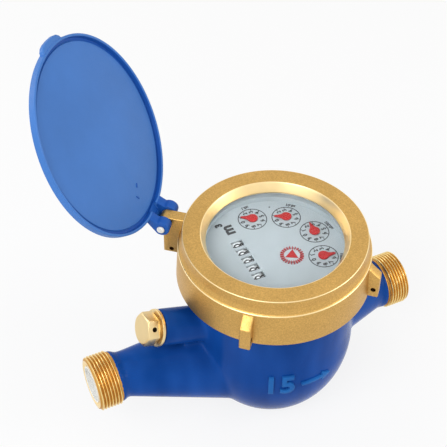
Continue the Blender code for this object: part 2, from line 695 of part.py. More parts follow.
def make_chamber():
    """The cup with its lower jets, upper jets and the flange that sits on the body's seat."""
    inner = CHAMBER_RADIUS - CHAMBER_WALL
    inner_chamfer = CHAMBER_CHAMFER - CHAMBER_WALL / 2.0
    chamber = turned("jet_chamber", [
        (0.0, CHAMBER_FLOOR), (inner - inner_chamfer, CHAMBER_FLOOR), (inner, CHAMBER_FLOOR + inner_chamfer),
        (inner, CHAMBER_HEIGHT), (CHAMBER_RADIUS, CHAMBER_HEIGHT),
        (CHAMBER_RADIUS, FLANGE_BASE + FLANGE_THICKNESS), (FLANGE_RADIUS, FLANGE_BASE + FLANGE_THICKNESS),
        (FLANGE_RADIUS, FLANGE_BASE), (CHAMBER_RADIUS, FLANGE_BASE),
        (CHAMBER_RADIUS, CHAMBER_BASE + CHAMBER_CHAMFER), (CHAMBER_RADIUS - CHAMBER_CHAMFER, CHAMBER_BASE),
        (0.0, CHAMBER_BASE),
    ], WHITE, MEDIUM)
    lower = CHAMBER_FLOOR + JET_HEIGHT
    upper = CHAMBER_HEIGHT - JET_HEIGHT / 2.0 - CHAMBER_WALL
    pin_hole = rod("pivot_socket", PIVOT_RADIUS + CLEARANCE, CHAMBER_BASE + CHAMBER_WALL / 2.0,
                   CHAMBER_FLOOR + CLEARANCE, WHITE, SMALL)
    cut(chamber, jet_slots("lower_jets", lower, JET_LEAN), jet_slots("upper_jets", upper, -JET_LEAN), pin_hole)


def make_cover():
    turned("chamber_cover", [
        (SHAFT_RADIUS + CLEARANCE, COVER_BASE + COVER_THICKNESS),
        (CASE_RADIUS, COVER_BASE + COVER_THICKNESS),
        (CASE_RADIUS, COVER_BASE + COVER_THICKNESS / 3.0),
        (CHAMBER_RADIUS, COVER_BASE),
        (SHAFT_RADIUS + CLEARANCE, COVER_BASE),
    ], WHITE, MEDIUM, hollow=True)


def make_impeller():
    """Seven flat vanes on a hub; its shaft carries the first pinion of the register."""
    pin_top = CHAMBER_FLOOR + PIVOT_HEIGHT
    rod("pivot_pin", PIVOT_RADIUS, CHAMBER_BASE + CHAMBER_WALL / 2.0 + CLEARANCE, pin_top, STEEL, SMALL)
    shaft_top = FIRST_LEVEL + GEAR_WIDTH
    pinion_root = PINION_TEETH * MODULE / 2.0 - DEDENDUM
    hub_top = VANE_BASE + VANE_HEIGHT + HUB_RISE
    impeller = turned("impeller", [
        (0.0, shaft_top - CLEARANCE), (pinion_root, shaft_top - CLEARANCE), (pinion_root, FIRST_LEVEL - CLEARANCE),
        (SHAFT_RADIUS, FIRST_LEVEL - CLEARANCE), (SHAFT_RADIUS, hub_top), (HUB_RADIUS, hub_top),
        (HUB_RADIUS, IMPELLER_BASE), (PIVOT_RADIUS + CLEARANCE, IMPELLER_BASE),
        (PIVOT_RADIUS + CLEARANCE, pin_top + CLEARANCE), (0.0, pin_top + CLEARANCE),
    ], WHITE, COARSE)

    def vane(name):
        inner = HUB_RADIUS - VANE_THICKNESS
        return block(name, (VANE_RADIUS - inner, VANE_THICKNESS, VANE_HEIGHT),
                     ((VANE_RADIUS + inner) / 2.0, 0.0, VANE_BASE + VANE_HEIGHT / 2.0), WHITE)

    heading = math.atan2(STAR_Y, STAR_X)
    pinion = toothed("impeller_pinion", PINION_TEETH, heading, FIRST_LEVEL, FIRST_LEVEL + GEAR_WIDTH, WHITE)
    join(impeller, copies_round("vanes", vane, VANE_COUNT), pinion)


# Register


def tooth_outline(teeth, phase):
    """Four points a tooth; a tooth's middle lies at phase."""
    pitch = TURN / teeth
    radius = teeth * MODULE / 2.0
    corners = (
        (-DEDENDUM, -TOOTH_ROOT_SHARE),
        (ADDENDUM, -TOOTH_TIP_SHARE),
        (ADDENDUM, TOOTH_TIP_SHARE),
        (-DEDENDUM, TOOTH_ROOT_SHARE),
    )
    points = []
    for i in range(teeth):
        for height, share in corners:
            points.append(polar(radius + height, phase + (i + share / 2.0) * pitch))
    return points


def toothed(name, teeth, phase, low, high, material):
    return plate(name, [tooth_outline(teeth, phase)], low, high, material)


def level(index):
    return FIRST_LEVEL + index * LEVEL_PITCH


def pointer_place(index):
    return Vector(polar(POINTER_CIRCLE, POINTER_FIRST_ANGLE + index * POINTER_STEP))


def idler_place(start, end, side):
    """The idler lies one stage from each arbor, to the left (1) or the right (-1) of the way between them."""
    gap = end - start
    along_gap = (STAGE_ONE ** 2 - STAGE_TWO ** 2 + gap.length ** 2) / (2.0 * gap.length)
    aside = math.sqrt(STAGE_ONE ** 2 - along_gap ** 2)
    direction = gap.normalized()
    left = Vector((-direction.y, direction.x))
    return start + direction * along_gap + left * aside * side


def heading_to(start, end):
    step = end - start
    return math.atan2(step.y, step.x)


def arbor(name, place, top, gears):
    """An arbor with its wheel and pinion; gears holds (teeth, tooth or gap heading, meshed, level)."""
    base = CASE_INSIDE - PIVOT_SINK + CLEARANCE
    obj = rod(name, ARBOR_RADIUS, base, top, GREY, SMALL)
    obj.location = (place.x, place.y, 0.0)
    for number, (teeth, direction, driven, index) in enumerate(gears):
        phase = direction + (TURN / teeth / 2.0 if driven else 0.0)
        gear = toothed(f"{name}_gear_{number + 1}", teeth, phase, level(index), level(index) + GEAR_WIDTH, GREY)
        gear.location = obj.location
        join(obj, gear)
    return obj


def train_places():
    """Arbor places in driving order: star, then idler and pointer for each decade."""
    places = [("star_arbor", Vector((STAR_X, STAR_Y)))]
    for index in range(DECADES):
        start = places[-1][1]
        end = pointer_place(index)
        side = -1 if index == 0 else 1
        places.append((f"idler_gear_{index + 1}", idler_place(start, end, side)))
        places.append((f"pointer_gear_{index + 1}", end))
    return places


def make_train():
    places = train_places()
    centre = Vector((0.0, 0.0))
    idler_top = PLATE_TOP
    pointer_top = POINTER_BASE - CLEARANCE
    for index, (name, place) in enumerate(places):
        before = centre if index == 0 else places[index - 1][1]
        teeth = IDLER_TEETH if name.startswith("idler") else WHEEL_TEETH
        gears = [(teeth, heading_to(place, before), True, index)]
        if index + 1 < len(places):
            gears.append((PINION_TEETH, heading_to(place, places[index + 1][1]), False, index + 1))
        arbor(name, place, idler_top if name.startswith("idler") else pointer_top, gears)
    return places


def make_case(places):
    """The cup that holds the train, with three posts for the upper plate and blind pivot holes."""
    case = turned("register_case", [
        (SHAFT_RADIUS + CLEARANCE, CASE_INSIDE), (CASE_INNER, CASE_INSIDE), (CASE_INNER, CASE_TOP),
        (CASE_RADIUS, CASE_TOP), (CASE_RADIUS, CASE_BASE), (SHAFT_RADIUS + CLEARANCE, CASE_BASE),
    ], WHITE, MEDIUM, hollow=True)
    for number, angle in enumerate(POST_ANGLES):
        post = rod(f"post_{number + 1}", POST_RADIUS, CASE_INSIDE - CLEARANCE, PLATE_BASE - CLEARANCE, WHITE, COARSE)
        post.location = (*polar(CASE_INNER - POST_RADIUS / 2.0, angle), 0.0)
        join(case, post)
    for name, place in places:
        hole = rod(f"{name}_pivot_hole", PIVOT_HOLE, CASE_INSIDE - PIVOT_SINK, CASE_INSIDE + CLEARANCE, WHITE, SMALL)
        hole.location = (place.x, place.y, 0.0)
        cut(case, hole)


def make_plates(places):
    plate_radius = CASE_INNER - CLEARANCE
    holes = [circle(PIVOT_HOLE, SMALL, place) for _, place in places]
    wheels_length = WHEEL_COUNT * WHEEL_PITCH + 2.0 * CLEARANCE
    wheels_width = 2.0 * (NUMBER_WHEEL_RADIUS + CLEARANCE)
    holes.append(rectangle(wheels_width, wheels_length, (WHEEL_ROW_X, 0.0)))
    upper = plate("upper_plate", [circle(plate_radius, MEDIUM)] + holes, PLATE_BASE, PLATE_TOP, GREY)
    bracket_top = NUMBER_AXIS_HEIGHT + BRACKET_WIDTH / 2.0
    for side in (-1, 1):
        middle = side * (wheels_length + BRACKET_THICKNESS + 2.0 * CLEARANCE) / 2.0
        bracket = block(f"bracket_{'front' if side < 0 else 'back'}",
                        (BRACKET_WIDTH, BRACKET_THICKNESS, bracket_top - PLATE_BASE - CLEARANCE),
                        (WHEEL_ROW_X, middle, (bracket_top + PLATE_BASE + CLEARANCE) / 2.0), GREY)
        join(upper, bracket)
    shaft_hole = rod("number_shaft_hole", NUMBER_SHAFT_RADIUS + CLEARANCE, -wheels_length, wheels_length,
                     GREY, SMALL)
    along(shaft_hole, (WHEEL_ROW_X, 0.0, NUMBER_AXIS_HEIGHT), (0.0, 1.0, 0.0))
    cut(upper, shaft_hole)
    dial_holes = [circle(PIVOT_HOLE, SMALL, place) for name, place in places if not name.startswith("idler")]
    for index in range(WHEEL_COUNT):
        dial_holes.append(rectangle(WINDOW_LENGTH, WINDOW_WIDTH, (WHEEL_ROW_X, wheel_offset(index))))
    plate("dial_plate", [circle(CASE_RADIUS, MEDIUM)] + dial_holes, DIAL_BASE, DIAL_TOP, DIAL_GREY)


def wheel_offset(index):
    """Wheel 1 counts units and lies at the +Y end, where the row is read last."""
    return ((WHEEL_COUNT - 1) / 2.0 - index) * WHEEL_PITCH


def make_number_wheels():
    half = NUMBER_WHEEL_WIDTH / 2.0
    bore = NUMBER_SHAFT_RADIUS + CLEARANCE
    for index in range(WHEEL_COUNT):
        wheel = tube(f"number_wheel_{index + 1}", bore, NUMBER_WHEEL_RADIUS, -half, half, WHITE, PIPE)
        along(wheel, (WHEEL_ROW_X, wheel_offset(index), NUMBER_AXIS_HEIGHT), (0.0, 1.0, 0.0))
    reach = (WHEEL_COUNT * WHEEL_PITCH) / 2.0 + 2.0 * CLEARANCE + BRACKET_THICKNESS
    shaft = rod("number_shaft", NUMBER_SHAFT_RADIUS, -reach, reach, STEEL, SMALL)
    along(shaft, (WHEEL_ROW_X, 0.0, NUMBER_AXIS_HEIGHT), (0.0, 1.0, 0.0))


def make_pointers():
    """A flat hub with a tapered finger, pressed on each pointer arbor."""
    for index, direction in enumerate(POINTER_HEADINGS):
        outline = arc((0.0, 0.0), POINTER_HUB, direction + POINTER_NECK, direction + TURN - POINTER_NECK, 9)
        outline.append(polar(POINTER_REACH, direction - POINTER_TIP))
        outline.append(polar(POINTER_REACH, direction + POINTER_TIP))
        place = pointer_place(index)
        pointer = plate(f"pointer_{index + 1}", [outline], POINTER_BASE, POINTER_BASE + POINTER_THICKNESS, RED)
        pointer.location = (place.x, place.y, 0.0)
    points = []
    for i in range(2 * STAR_POINTS):
        points.append(polar(STAR_RADIUS if i % 2 else STAR_RADIUS - STAR_NOTCH, TURN * i / (2 * STAR_POINTS)))
    star = plate("star_wheel", [points], POINTER_BASE, POINTER_BASE + STAR_THICKNESS, RED)
    star.location = (STAR_X, STAR_Y, 0.0)


# Glass, ring and lid


def make_glass_stack():
    tube("glass_gasket", GASKET_INNER, NECK_RADIUS - CLEARANCE, GASKET_BASE, GASKET_BASE + GASKET_THICKNESS, RUBBER)
    rod("glass", GLASS_RADIUS, GLASS_BASE, GLASS_BASE + GLASS_THICKNESS, GLASS, FINE)
    tube("slip_washer", WASHER_INNER, GLASS_RADIUS, WASHER_BASE, WASHER_BASE + WASHER_THICKNESS, BRASS)


def lug_frame(angle):
    """Turns a shape drawn in (radius, height) and given a width into a lug at that angle."""
    out = Vector((math.cos(angle), math.sin(angle), 0.0))
    side = Vector((math.sin(angle), -math.cos(angle), 0.0))
    turn = Matrix((out, (0.0, 0.0, 1.0), side)).transposed()
    return turn.to_4x4()


def seal_hole(name, angle, radius):
    hole = rod(name, SEAL_HOLE, -LUG_WIDTH, LUG_WIDTH, BRASS, SMALL)
    centre = Matrix.Translation((radius, RING_BASE + SEAL_HOLE_RISE, 0.0))
    hole.matrix_basis = lug_frame(angle) @ centre
    return hole


def make_ring():
    """The screwed cover ring: bevelled window, stepped crown, three lugs and the hinge lug."""
    inner = NECK_RADIUS + CLEARANCE
    profile = [(BEVEL_RADIUS, RING_TOP)]
    profile += arc((CROWN_RADIUS - EDGE_ROUND, RING_TOP - EDGE_ROUND), EDGE_ROUND, TURN / 4.0, 0.0, 3)
    profile += [
        (CROWN_RADIUS, SHOULDER_HEIGHT + EDGE_ROUND),
        (CROWN_RADIUS + EDGE_ROUND, SHOULDER_HEIGHT),
        (SHOULDER_RADIUS - EDGE_ROUND / 2.0, SHOULDER_HEIGHT),
        (SHOULDER_RADIUS, SHOULDER_HEIGHT - EDGE_ROUND / 2.0),
        (RING_RADIUS, RING_BASE + EDGE_ROUND),
        (RING_RADIUS - EDGE_ROUND, RING_BASE),
        (inner, RING_BASE),
        (inner, LIP_BASE),
        (WINDOW_RADIUS, LIP_BASE),
        (WINDOW_RADIUS, LIP_BASE + BEVEL_LAND),
    ]
    ring = turned("cover_ring", profile, BRASS, FINE, hollow=True)
    root = (SHOULDER_RADIUS + inner) / 2.0
    lug = [
        (root, SHOULDER_HEIGHT - LUG_SINK / 2.0), (root, RING_BASE), (LUG_RADIUS, RING_BASE),
        (LUG_RADIUS, RING_TOP - LUG_DROP), (SHOULDER_RADIUS, SHOULDER_HEIGHT - LUG_SINK / 2.0),
    ]
    for number in range(1, 4):
        angle = FIRST_LUG_ANGLE + (number - 1) * TURN / 4.0
        piece = plate(f"lug_{number}", [lug], -LUG_WIDTH / 2.0, LUG_WIDTH / 2.0, BRASS)
        piece.matrix_basis = lug_frame(angle)
        join(ring, piece)
        cut(ring, seal_hole(f"lug_hole_{number}", angle, (RING_RADIUS + LUG_RADIUS) / 2.0))
    join(ring, hinge_lug(inner))
    cut(ring, hinge_bore("ring_hinge_bore", HINGE_PIN_RADIUS + CLEARANCE))
    cut(ring, seal_hole("hinge_lug_hole", HINGE_ANGLE, (RING_RADIUS + HINGE_RADIUS) / 2.0))


def hinge_lug(inner):
    """The lug's knuckle stands out past its face, as the stop of the open lid."""
    root = (CROWN_RADIUS + inner) / 2.0
    face = HINGE_RADIUS + HINGE_LUG_FACE
    knuckle = HINGE_RADIUS + KNUCKLE_RADIUS
    outline = [
        (root, HINGE_HEIGHT + KNUCKLE_RADIUS),
        (root, RING_BASE + HINGE_LUG_RISE),
        (face, RING_BASE + HINGE_LUG_RISE),
        (face, HINGE_HEIGHT - KNUCKLE_RADIUS - (knuckle - face)),
        (knuckle, HINGE_HEIGHT - KNUCKLE_RADIUS),
    ]
    outline += arc((HINGE_RADIUS, HINGE_HEIGHT), KNUCKLE_RADIUS, 0.0, TURN / 4.0, 5)
    piece = plate("hinge_lug", [outline], -KNUCKLE_WIDTH / 2.0, KNUCKLE_WIDTH / 2.0, BRASS)
    piece.matrix_basis = lug_frame(HINGE_ANGLE)
    return piece


def hinge_bore(name, radius):
    reach = KNUCKLE_WIDTH / 2.0 + EAR_WIDTH + 3.0 * CLEARANCE
    bore = rod(name, radius, -reach, reach, BRASS, COARSE)
    bore.matrix_basis = lug_frame(HINGE_ANGLE) @ Matrix.Translation((HINGE_RADIUS, HINGE_HEIGHT, 0.0))
    return bore


def make_hinge_pin():
    reach = KNUCKLE_WIDTH / 2.0 + CLEARANCE + EAR_WIDTH + CLEARANCE
    head = HINGE_PIN_RADIUS + HINGE_PIN_FLARE
    pin = turned("hinge_pin", [
        (0.0, reach), (HINGE_PIN_RADIUS, reach), (HINGE_PIN_RADIUS, -reach),
        (head, -reach), (head, -reach - HINGE_PIN_HEAD), (0.0, -reach - HINGE_PIN_HEAD),
    ], WHITE, COARSE)
    pin.matrix_basis = lug_frame(HINGE_ANGLE) @ Matrix.Translation((HINGE_RADIUS, HINGE_HEIGHT, 0.0))


def make_lid():
    """The lid is drawn shut, round the hinge axis, and then swung open by its empty."""
    hinge = bpy.data.objects.new("lid_hinge", None)
    METER.objects.link(hinge)
    out = polar(HINGE_RADIUS, HINGE_ANGLE)
    swing = Matrix.Rotation(LID_OPENING, 4, "Y")
    hinge.matrix_basis = (Matrix.Translation((*out, HINGE_HEIGHT)) @ Matrix.Rotation(HINGE_ANGLE, 4, "Z") @ swing)
    floor = HINGE_DROP + CLEARANCE
    rim = floor - LID_RIM_DEPTH
    top = floor + LID_THICKNESS
    profile = [(0.0, top + LID_CROWN)]
    profile += [(LID_RADIUS * s, top + LID_CROWN * (1.0 - s ** 2)) for s in (0.3, 0.6, 0.85)]
    profile += [
        (LID_RADIUS - EDGE_ROUND, top), (LID_RADIUS, top - EDGE_ROUND), (LID_RADIUS, rim), (LID_RIM_INNER, rim),
        (LID_RIM_INNER, floor), (0.0, floor),
    ]
    lid = turned("lid", profile, BLUE_PLASTIC)
    lid.parent = hinge
    lid.location.x = -HINGE_RADIUS
    ear_gap = KNUCKLE_WIDTH / 2.0 + CLEARANCE
    inward = LID_RIM_INNER - HINGE_RADIUS + EAR_OVERLAP
    ear = [(inward, top - EDGE_ROUND), (inward, rim), (-EAR_RADIUS, 0.0)]
    ear += arc((0.0, 0.0), EAR_RADIUS, -math.pi, math.radians(60.0), 8)[1:]
    for side in (-1, 1):
        middle = side * (ear_gap + EAR_WIDTH / 2.0)
        piece = plate(f"ear_{'front' if side > 0 else 'back'}", [ear], middle - EAR_WIDTH / 2.0,
                      middle + EAR_WIDTH / 2.0, BLUE_PLASTIC)
        join(lid, upright(piece))
    strap_base = KNUCKLE_RADIUS + 1.5 * CLEARANCE
    strap = [(inward, strap_base), (-2.0 * CLEARANCE, strap_base), (-2.0 * CLEARANCE, strap_base + LID_THICKNESS),
             (inward, top - EDGE_ROUND)]
    join(lid, upright(plate("hinge_strap", [strap], -ear_gap - CLEARANCE, ear_gap + CLEARANCE, BLUE_PLASTIC)))
    notch_width = KNUCKLE_WIDTH + 2.0 * CLEARANCE
    notch_length = 2.0 * (LID_RADIUS - LID_RIM_INNER)
    notch = block("rim_notch", (notch_length, notch_width, 2.0 * LID_RIM_DEPTH),
                  (LID_RADIUS - HINGE_RADIUS - notch_length / 3.0, 0.0, floor - LID_RIM_DEPTH), BLUE_PLASTIC)
    cut(lid, notch)
    join(lid, thumb_tab(rim, top))
    bore = rod("lid_pin_bore", HINGE_PIN_RADIUS + CLEARANCE, -2.0 * EAR_WIDTH - ear_gap,
               2.0 * EAR_WIDTH + ear_gap, BLUE_PLASTIC, COARSE)
    cut(lid, upright(bore))


def upright(piece):
    """Lays a shape drawn in XY into the plane across the hinge: its X outward, its Y up."""
    piece.matrix_basis = Matrix.Rotation(TURN / 4.0, 4, "X")
    return piece


def thumb_tab(rim, top):
    base = (LID_RADIUS + LID_RIM_INNER) / 2.0
    tip = LID_RADIUS + TAB_REACH
    outline = [(-base, -TAB_BASE / 2.0), (-base, TAB_BASE / 2.0), (-tip, TAB_TIP / 2.0), (-tip, -TAB_TIP / 2.0)]
    tab = plate("thumb_tab", [outline], rim + CLEARANCE, top - EDGE_ROUND, BLUE_PLASTIC)
    tab.matrix_basis = Matrix.Translation((-HINGE_RADIUS, 0.0, 0.0)) @ Matrix.Rotation(TAB_ANGLE, 4, "Z")
    return tab


def main():
    make_body()
    make_strainer()
    make_plug()
    make_basket()
    make_chamber()
    make_cover()
    make_impeller()
    places = make_train()
    make_case(places)
    make_plates(places)
    make_number_wheels()
    make_pointers()
    make_glass_stack()
    make_ring()
    make_hinge_pin()
    make_lid()
    for obj in METER.objects:
        if obj.type == "MESH" and obj.data.polygons:
            shade_round(obj.data)


main()
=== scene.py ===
"""Dresses a threaded vane-wheel water meter: casts the body, turns the brass and prints the dial.

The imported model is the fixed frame. Shapes are written in millimetres, in the meter's own frame:
X runs from inlet to outlet, Z is up and the dial's axis stands at X = Y = 0. The sizes in the
panel are in metres, as Blender's own are.
"""

import math
from contextlib import contextmanager

import bmesh
import bpy
from bpy.props import FloatProperty, FloatVectorProperty, IntProperty, PointerProperty
from mathutils import Matrix, Vector


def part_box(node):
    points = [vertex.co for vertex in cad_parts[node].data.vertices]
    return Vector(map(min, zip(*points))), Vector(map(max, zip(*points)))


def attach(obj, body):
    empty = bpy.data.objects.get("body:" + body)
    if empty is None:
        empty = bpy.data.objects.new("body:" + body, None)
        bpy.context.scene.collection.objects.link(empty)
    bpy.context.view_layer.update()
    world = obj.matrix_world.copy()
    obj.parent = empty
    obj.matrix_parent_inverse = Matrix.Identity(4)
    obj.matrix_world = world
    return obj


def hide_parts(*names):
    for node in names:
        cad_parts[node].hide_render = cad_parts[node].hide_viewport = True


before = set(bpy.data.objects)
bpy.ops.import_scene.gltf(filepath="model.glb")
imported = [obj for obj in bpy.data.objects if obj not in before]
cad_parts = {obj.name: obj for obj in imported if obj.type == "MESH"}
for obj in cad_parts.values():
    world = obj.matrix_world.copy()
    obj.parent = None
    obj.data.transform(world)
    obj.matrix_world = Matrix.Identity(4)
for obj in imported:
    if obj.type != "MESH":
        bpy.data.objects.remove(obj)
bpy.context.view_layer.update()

bl_info = {
    "name": "Water Meter Dresser",
    "version": (1, 0, 0),
    "blender": (4, 5, 0),
    "location": "3D View > Sidebar > Water Meter",
    "description": "Casts, turns, moulds and prints the visible pieces of a threaded water meter",
    "category": "Object",
}

MM = 0.001
TURN = 2.0 * math.pi
WHITE = (1.0, 1.0, 1.0, 1.0)

# The body, in millimetres and degrees as all that follows
PIPE_HEIGHT = 41.0
PIPE_BORE = 7.5
INLET_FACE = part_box("inlet_strainer")[0].x / MM
INLET_ARM = 10.6
OUTLET_FACE = 71.5
OUTLET_ARM = 12.0
THREAD_LENGTH = 11.0
THREAD_ROOT = 12.06
GROOVE_RADIUS = 12.1
CREST_RADIUS = 13.2
BOWL_HEIGHT = 40.0
BOWL_RADIUS = 39.5
BOWL_DEPTH = 47.2
NECK_RADIUS = 39.1
SEAT_HEIGHT = 42.0
BOSS_MOUTH = (-59.2, 0.0, 64.7)
BOSS_ROOT = (-34.9, 0.0, 56.8)
BOSS_RADIUS = 8.7
BOSS_TILT = 18.0

# The ring, the plug and the lid
RING_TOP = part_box("cover_ring")[1].z / MM
RING_BASE = 76.6
WINDOW_EDGE = 97.2
LUG_ANGLES = (228.0, 318.0, 48.0)
LUG_REACH = 50.0
PLUG_FLATS = 14.0
PLUG_TOP = 8.4
PLUG_HOLE_HEIGHT = 5.2
PLUG_HOLE_RADIUS = 1.15
PLUG_HEADING = 39.5
HINGE_ANGLE = 140.2
HINGE_RADIUS = 51.9
HINGE_HEIGHT = 98.3
PIN_HOLE = 1.6
LID_OPENING = 119.7
LID_RADIUS = 46.0
LID_FLOOR = 3.7
EAR_RADIUS = 3.9
EAR_MIDDLE = 5.7

# The dial and what turns over it
DIAL_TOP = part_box("dial_plate")[1].z / MM
PRINT_BASE = DIAL_TOP + 0.01
PRINT_THICKNESS = 0.04
POINTER_CIRCLE = 22.5
POINTER_FIRST = -34.1
POINTER_STEP = 41.49
POINTER_HEADINGS = (-12.0, 86.0, 153.0, 149.0)
POINTER_BASE = 88.4
STAR_CENTRE = (5.6, -6.5)
STAR_CIRCLE = 4.5
TRIANGLE_RADIUS = 3.4
DRUM_ROW = -13.5
DRUM_HEIGHT = 82.0
DRUM_RADIUS = 5.0
DRUM_PITCH = 5.4

# The stage: each lamp's place, width, height and power, and the camera's place and two directions
LAMPS = (
    ("left_soft_box", (-0.80, -0.45, 0.95), 0.70, 0.70, 8.5),
    ("right_soft_box", (0.85, -0.55, 0.60), 0.50, 0.70, 4.5),
    ("back_soft_box", (-0.75, 0.75, 0.60), 0.60, 0.60, 3.0),
)
LAMP_AIM = (0.0, 0.0, 0.05)
WORLD_LIGHT = 0.55
PAPER_SHARE = 0.82
CAMERA_PLACE = (-0.18859, -0.33581, 0.48380)
CAMERA_RIGHT = (0.9040, -0.4275, 0.0087)
CAMERA_AHEAD = (0.3108, 0.6430, -0.7000)
CAMERA_LENS = 96.17


# Sizes and colours that a user may change


def length(name, description, default, least, most):
    return FloatProperty(name=name, description=description, default=default, min=least, max=most, unit="LENGTH")


def count(name, description, default, least, most):
    return IntProperty(name=name, description=description, default=default, min=least, max=most)


def hue(name, description, default):
    return FloatVectorProperty(name=name, description=description, default=default, min=0.0, max=1.0,
                               subtype="COLOR")


class CastingSizes(bpy.types.PropertyGroup):
    """How finely the body is cast and how far its corners are rounded."""

    grain: length("Grain", "Size of the facets of the casting", 0.0008, 0.0004, 0.003)
    rounding: count("Rounding", "How often the casting's corners are rubbed down", 18, 0, 60)
    mark_height: length("Mark height", "How far the cast figures stand out", 0.0008, 0.0002, 0.002)


class BrassSizes(bpy.types.PropertyGroup):
    """The screw thread and the broken edges of the brass pieces."""

    pitch: length("Thread pitch", "Distance between two turns of the thread", 0.0015, 0.0005, 0.004)
    thread_height: length("Thread height", "Height of the thread above its root", 0.0011, 0.0002, 0.002)
    edge: length("Edge", "Rounding of the turned and cast edges", 0.00035, 0.00005, 0.001)


class DialSizes(bpy.types.PropertyGroup):
    """What is printed on the dial."""

    circle: length("Circle", "Radius of each small dial", 0.0067, 0.003, 0.01)
    line: length("Line", "Width of a printed line", 0.00042, 0.0001, 0.001)
    figure: length("Figure", "Height of the small dials' figures", 0.0024, 0.0008, 0.004)
    ticks: count("Ticks", "Marks round each small dial", 10, 2, 60)
    teeth: count("Teeth", "Red marks round the flow star", 24, 3, 60)


class MeterColours(bpy.types.PropertyGroup):
    """The colours of the finishes."""

    enamel: hue("Body enamel", "Colour of the painted casting", (0.0015, 0.049, 0.262))
    lid: hue("Lid", "Colour of the moulded lid", (0.045, 0.175, 0.520))
    brass: hue("Brass", "Colour of the blasted brass", (0.660, 0.400, 0.120))
    bright_brass: hue("Bright brass", "Colour of the turned brass", (0.960, 0.745, 0.390))
    dial: hue("Dial", "Colour of the dial", (0.385, 0.443, 0.474))
    red: hue("Pointers", "Colour of the pointers and the star", (0.410, 0.010, 0.012))
    ink: hue("Ink", "Colour of the dial's print", (0.012, 0.013, 0.016))


# Places and turns


def polar(radius, degrees):
    turn = math.radians(degrees)
    return radius * math.cos(turn), radius * math.sin(turn)


def moved(x, y, z):
    return Matrix.Translation((x, y, z))


def turned(degrees, axis="Z"):
    return Matrix.Rotation(math.radians(degrees), 4, axis)


def stand(origin, across, up, out):
    """The matrix that lays X, Y and Z along across, up and out at a point."""
    matrix = Matrix((across, up, out)).transposed().to_4x4()
    matrix.translation = Vector(origin)
    return matrix


def pipe_frame(side, face):
    """Z points out of the pipe, from the face at that X."""
    return stand((face, 0.0, PIPE_HEIGHT), (0.0, float(side), 0.0), (0.0, 0.0, 1.0), (float(side), 0.0, 0.0))


def boss_frame():
    """Z points out of the boss, from the middle of its mouth."""
    high, low = polar(1.0, BOSS_TILT)
    return stand(BOSS_MOUTH, (0.0, -1.0, 0.0), (low, 0.0, high), (-high, 0.0, low))


def lug_frame(angle):
    """X points outwards at that angle, Y up and Z along the rim."""
    x, y = polar(1.0, angle)
    return stand((0.0, 0.0, 0.0), (x, y, 0.0), (0.0, 0.0, 1.0), (y, -x, 0.0))


def pin_frame():
    return lug_frame(HINGE_ANGLE) @ moved(HINGE_RADIUS, HINGE_HEIGHT, 0.0)


def lid_frame():
    """The lid is drawn shut, with the hinge's axis at the origin, and swung open from there."""
    hinge = moved(*polar(HINGE_RADIUS, HINGE_ANGLE), HINGE_HEIGHT)
    return hinge @ turned(HINGE_ANGLE) @ turned(LID_OPENING, "Y")


def dial_frame(x, y, height, heading=0.0):
    """Letters read along Y with their tops towards the inlet, turned on from there by the heading."""
    return stand((x, y, height), (0.0, 1.0, 0.0), (-1.0, 0.0, 0.0), (0.0, 0.0, 1.0)) @ turned(heading)


def pointer_places():
    return [polar(POINTER_CIRCLE, POINTER_FIRST + POINTER_STEP * i) for i in range(len(POINTER_HEADINGS))]


# Building a mesh


@contextmanager
def opened(mesh):
    """Opens a mesh for work on its points and faces, and writes it back."""
    work = bmesh.new()
    work.from_mesh(mesh)
    yield work
    work.to_mesh(mesh)
    work.free()


def scrap(pieces):
    for piece in pieces:
        mesh = piece.data
        bpy.data.objects.remove(piece)
        bpy.data.meshes.remove(mesh)


def put(name, mesh, material=None):
    """Puts a mesh into the scene under its name."""
    piece = bpy.data.objects.new(name, mesh)
    if material is not None:
        mesh.materials.append(material)
    bpy.context.scene.collection.objects.link(piece)
    return piece


def face_outwards(mesh, weld=0.0):
    """Turns the faces outwards, after points closer than the weld are merged."""
    with opened(mesh) as work:
        if weld > 0.0:
            bmesh.ops.remove_doubles(work, verts=work.verts, dist=weld)
        bmesh.ops.recalc_face_normals(work, faces=work.faces)


def shape(name, points, faces, material=None):
    """A piece from points in millimetres and faces, with its faces turned outwards."""
    mesh = bpy.data.meshes.new(name)
    mesh.from_pydata([Vector(point) * MM for point in points], [], faces)
    face_outwards(mesh)
    return put(name, mesh, material)


def lathe(name, profile, steps=128, material=None, ring=False):
    """Turns a profile of (radius, height) round Z. A ring's profile closes on itself."""
    points = []
    rows = []
    for radius, height in profile:
        if radius < 1e-6:
            rows.append([len(points)] * steps)
            points.append((0.0, 0.0, height))
            continue
        rows.append(list(range(len(points), len(points) + steps)))
        for i in range(steps):
            turn = TURN * i / steps
            points.append((radius * math.cos(turn), radius * math.sin(turn), height))
    following = rows[1:] + rows[:1] if ring else rows[1:]
    faces = []
    for low, high in zip(rows, following):
        for i in range(steps):
            j = (i + 1) % steps
            corners = list(dict.fromkeys((low[i], low[j], high[j], high[i])))
            if len(corners) > 2:
                faces.append(corners)
    return shape(name, points, faces, material)


def rounded(profile, size, parts=4, ring=True):
    """The profile with each corner off the axis rounded."""
    last = len(profile) - 1
    made = []
    for i, (x, y) in enumerate(profile):
        if x < 1e-6 or (not ring and i in (0, last)):
            made.append((x, y))
            continue
        corner = Vector((x, y))
        before = Vector(profile[i - 1]) - corner
        after = Vector(profile[(i + 1) % len(profile)]) - corner
        reach = min(size, 0.45 * before.length, 0.45 * after.length)
        start = corner + before.normalized() * reach
        end = corner + after.normalized() * reach
        for k in range(parts + 1):
            t = k / parts
            point = start * (1.0 - t) ** 2 + corner * 2.0 * t * (1.0 - t) + end * t ** 2
            made.append((point.x, point.y))
    return made


def bar(radius, start, end):
    """The profile of a round bar between two heights."""
    return [(0.0, start), (radius, start), (radius, end), (0.0, end)]


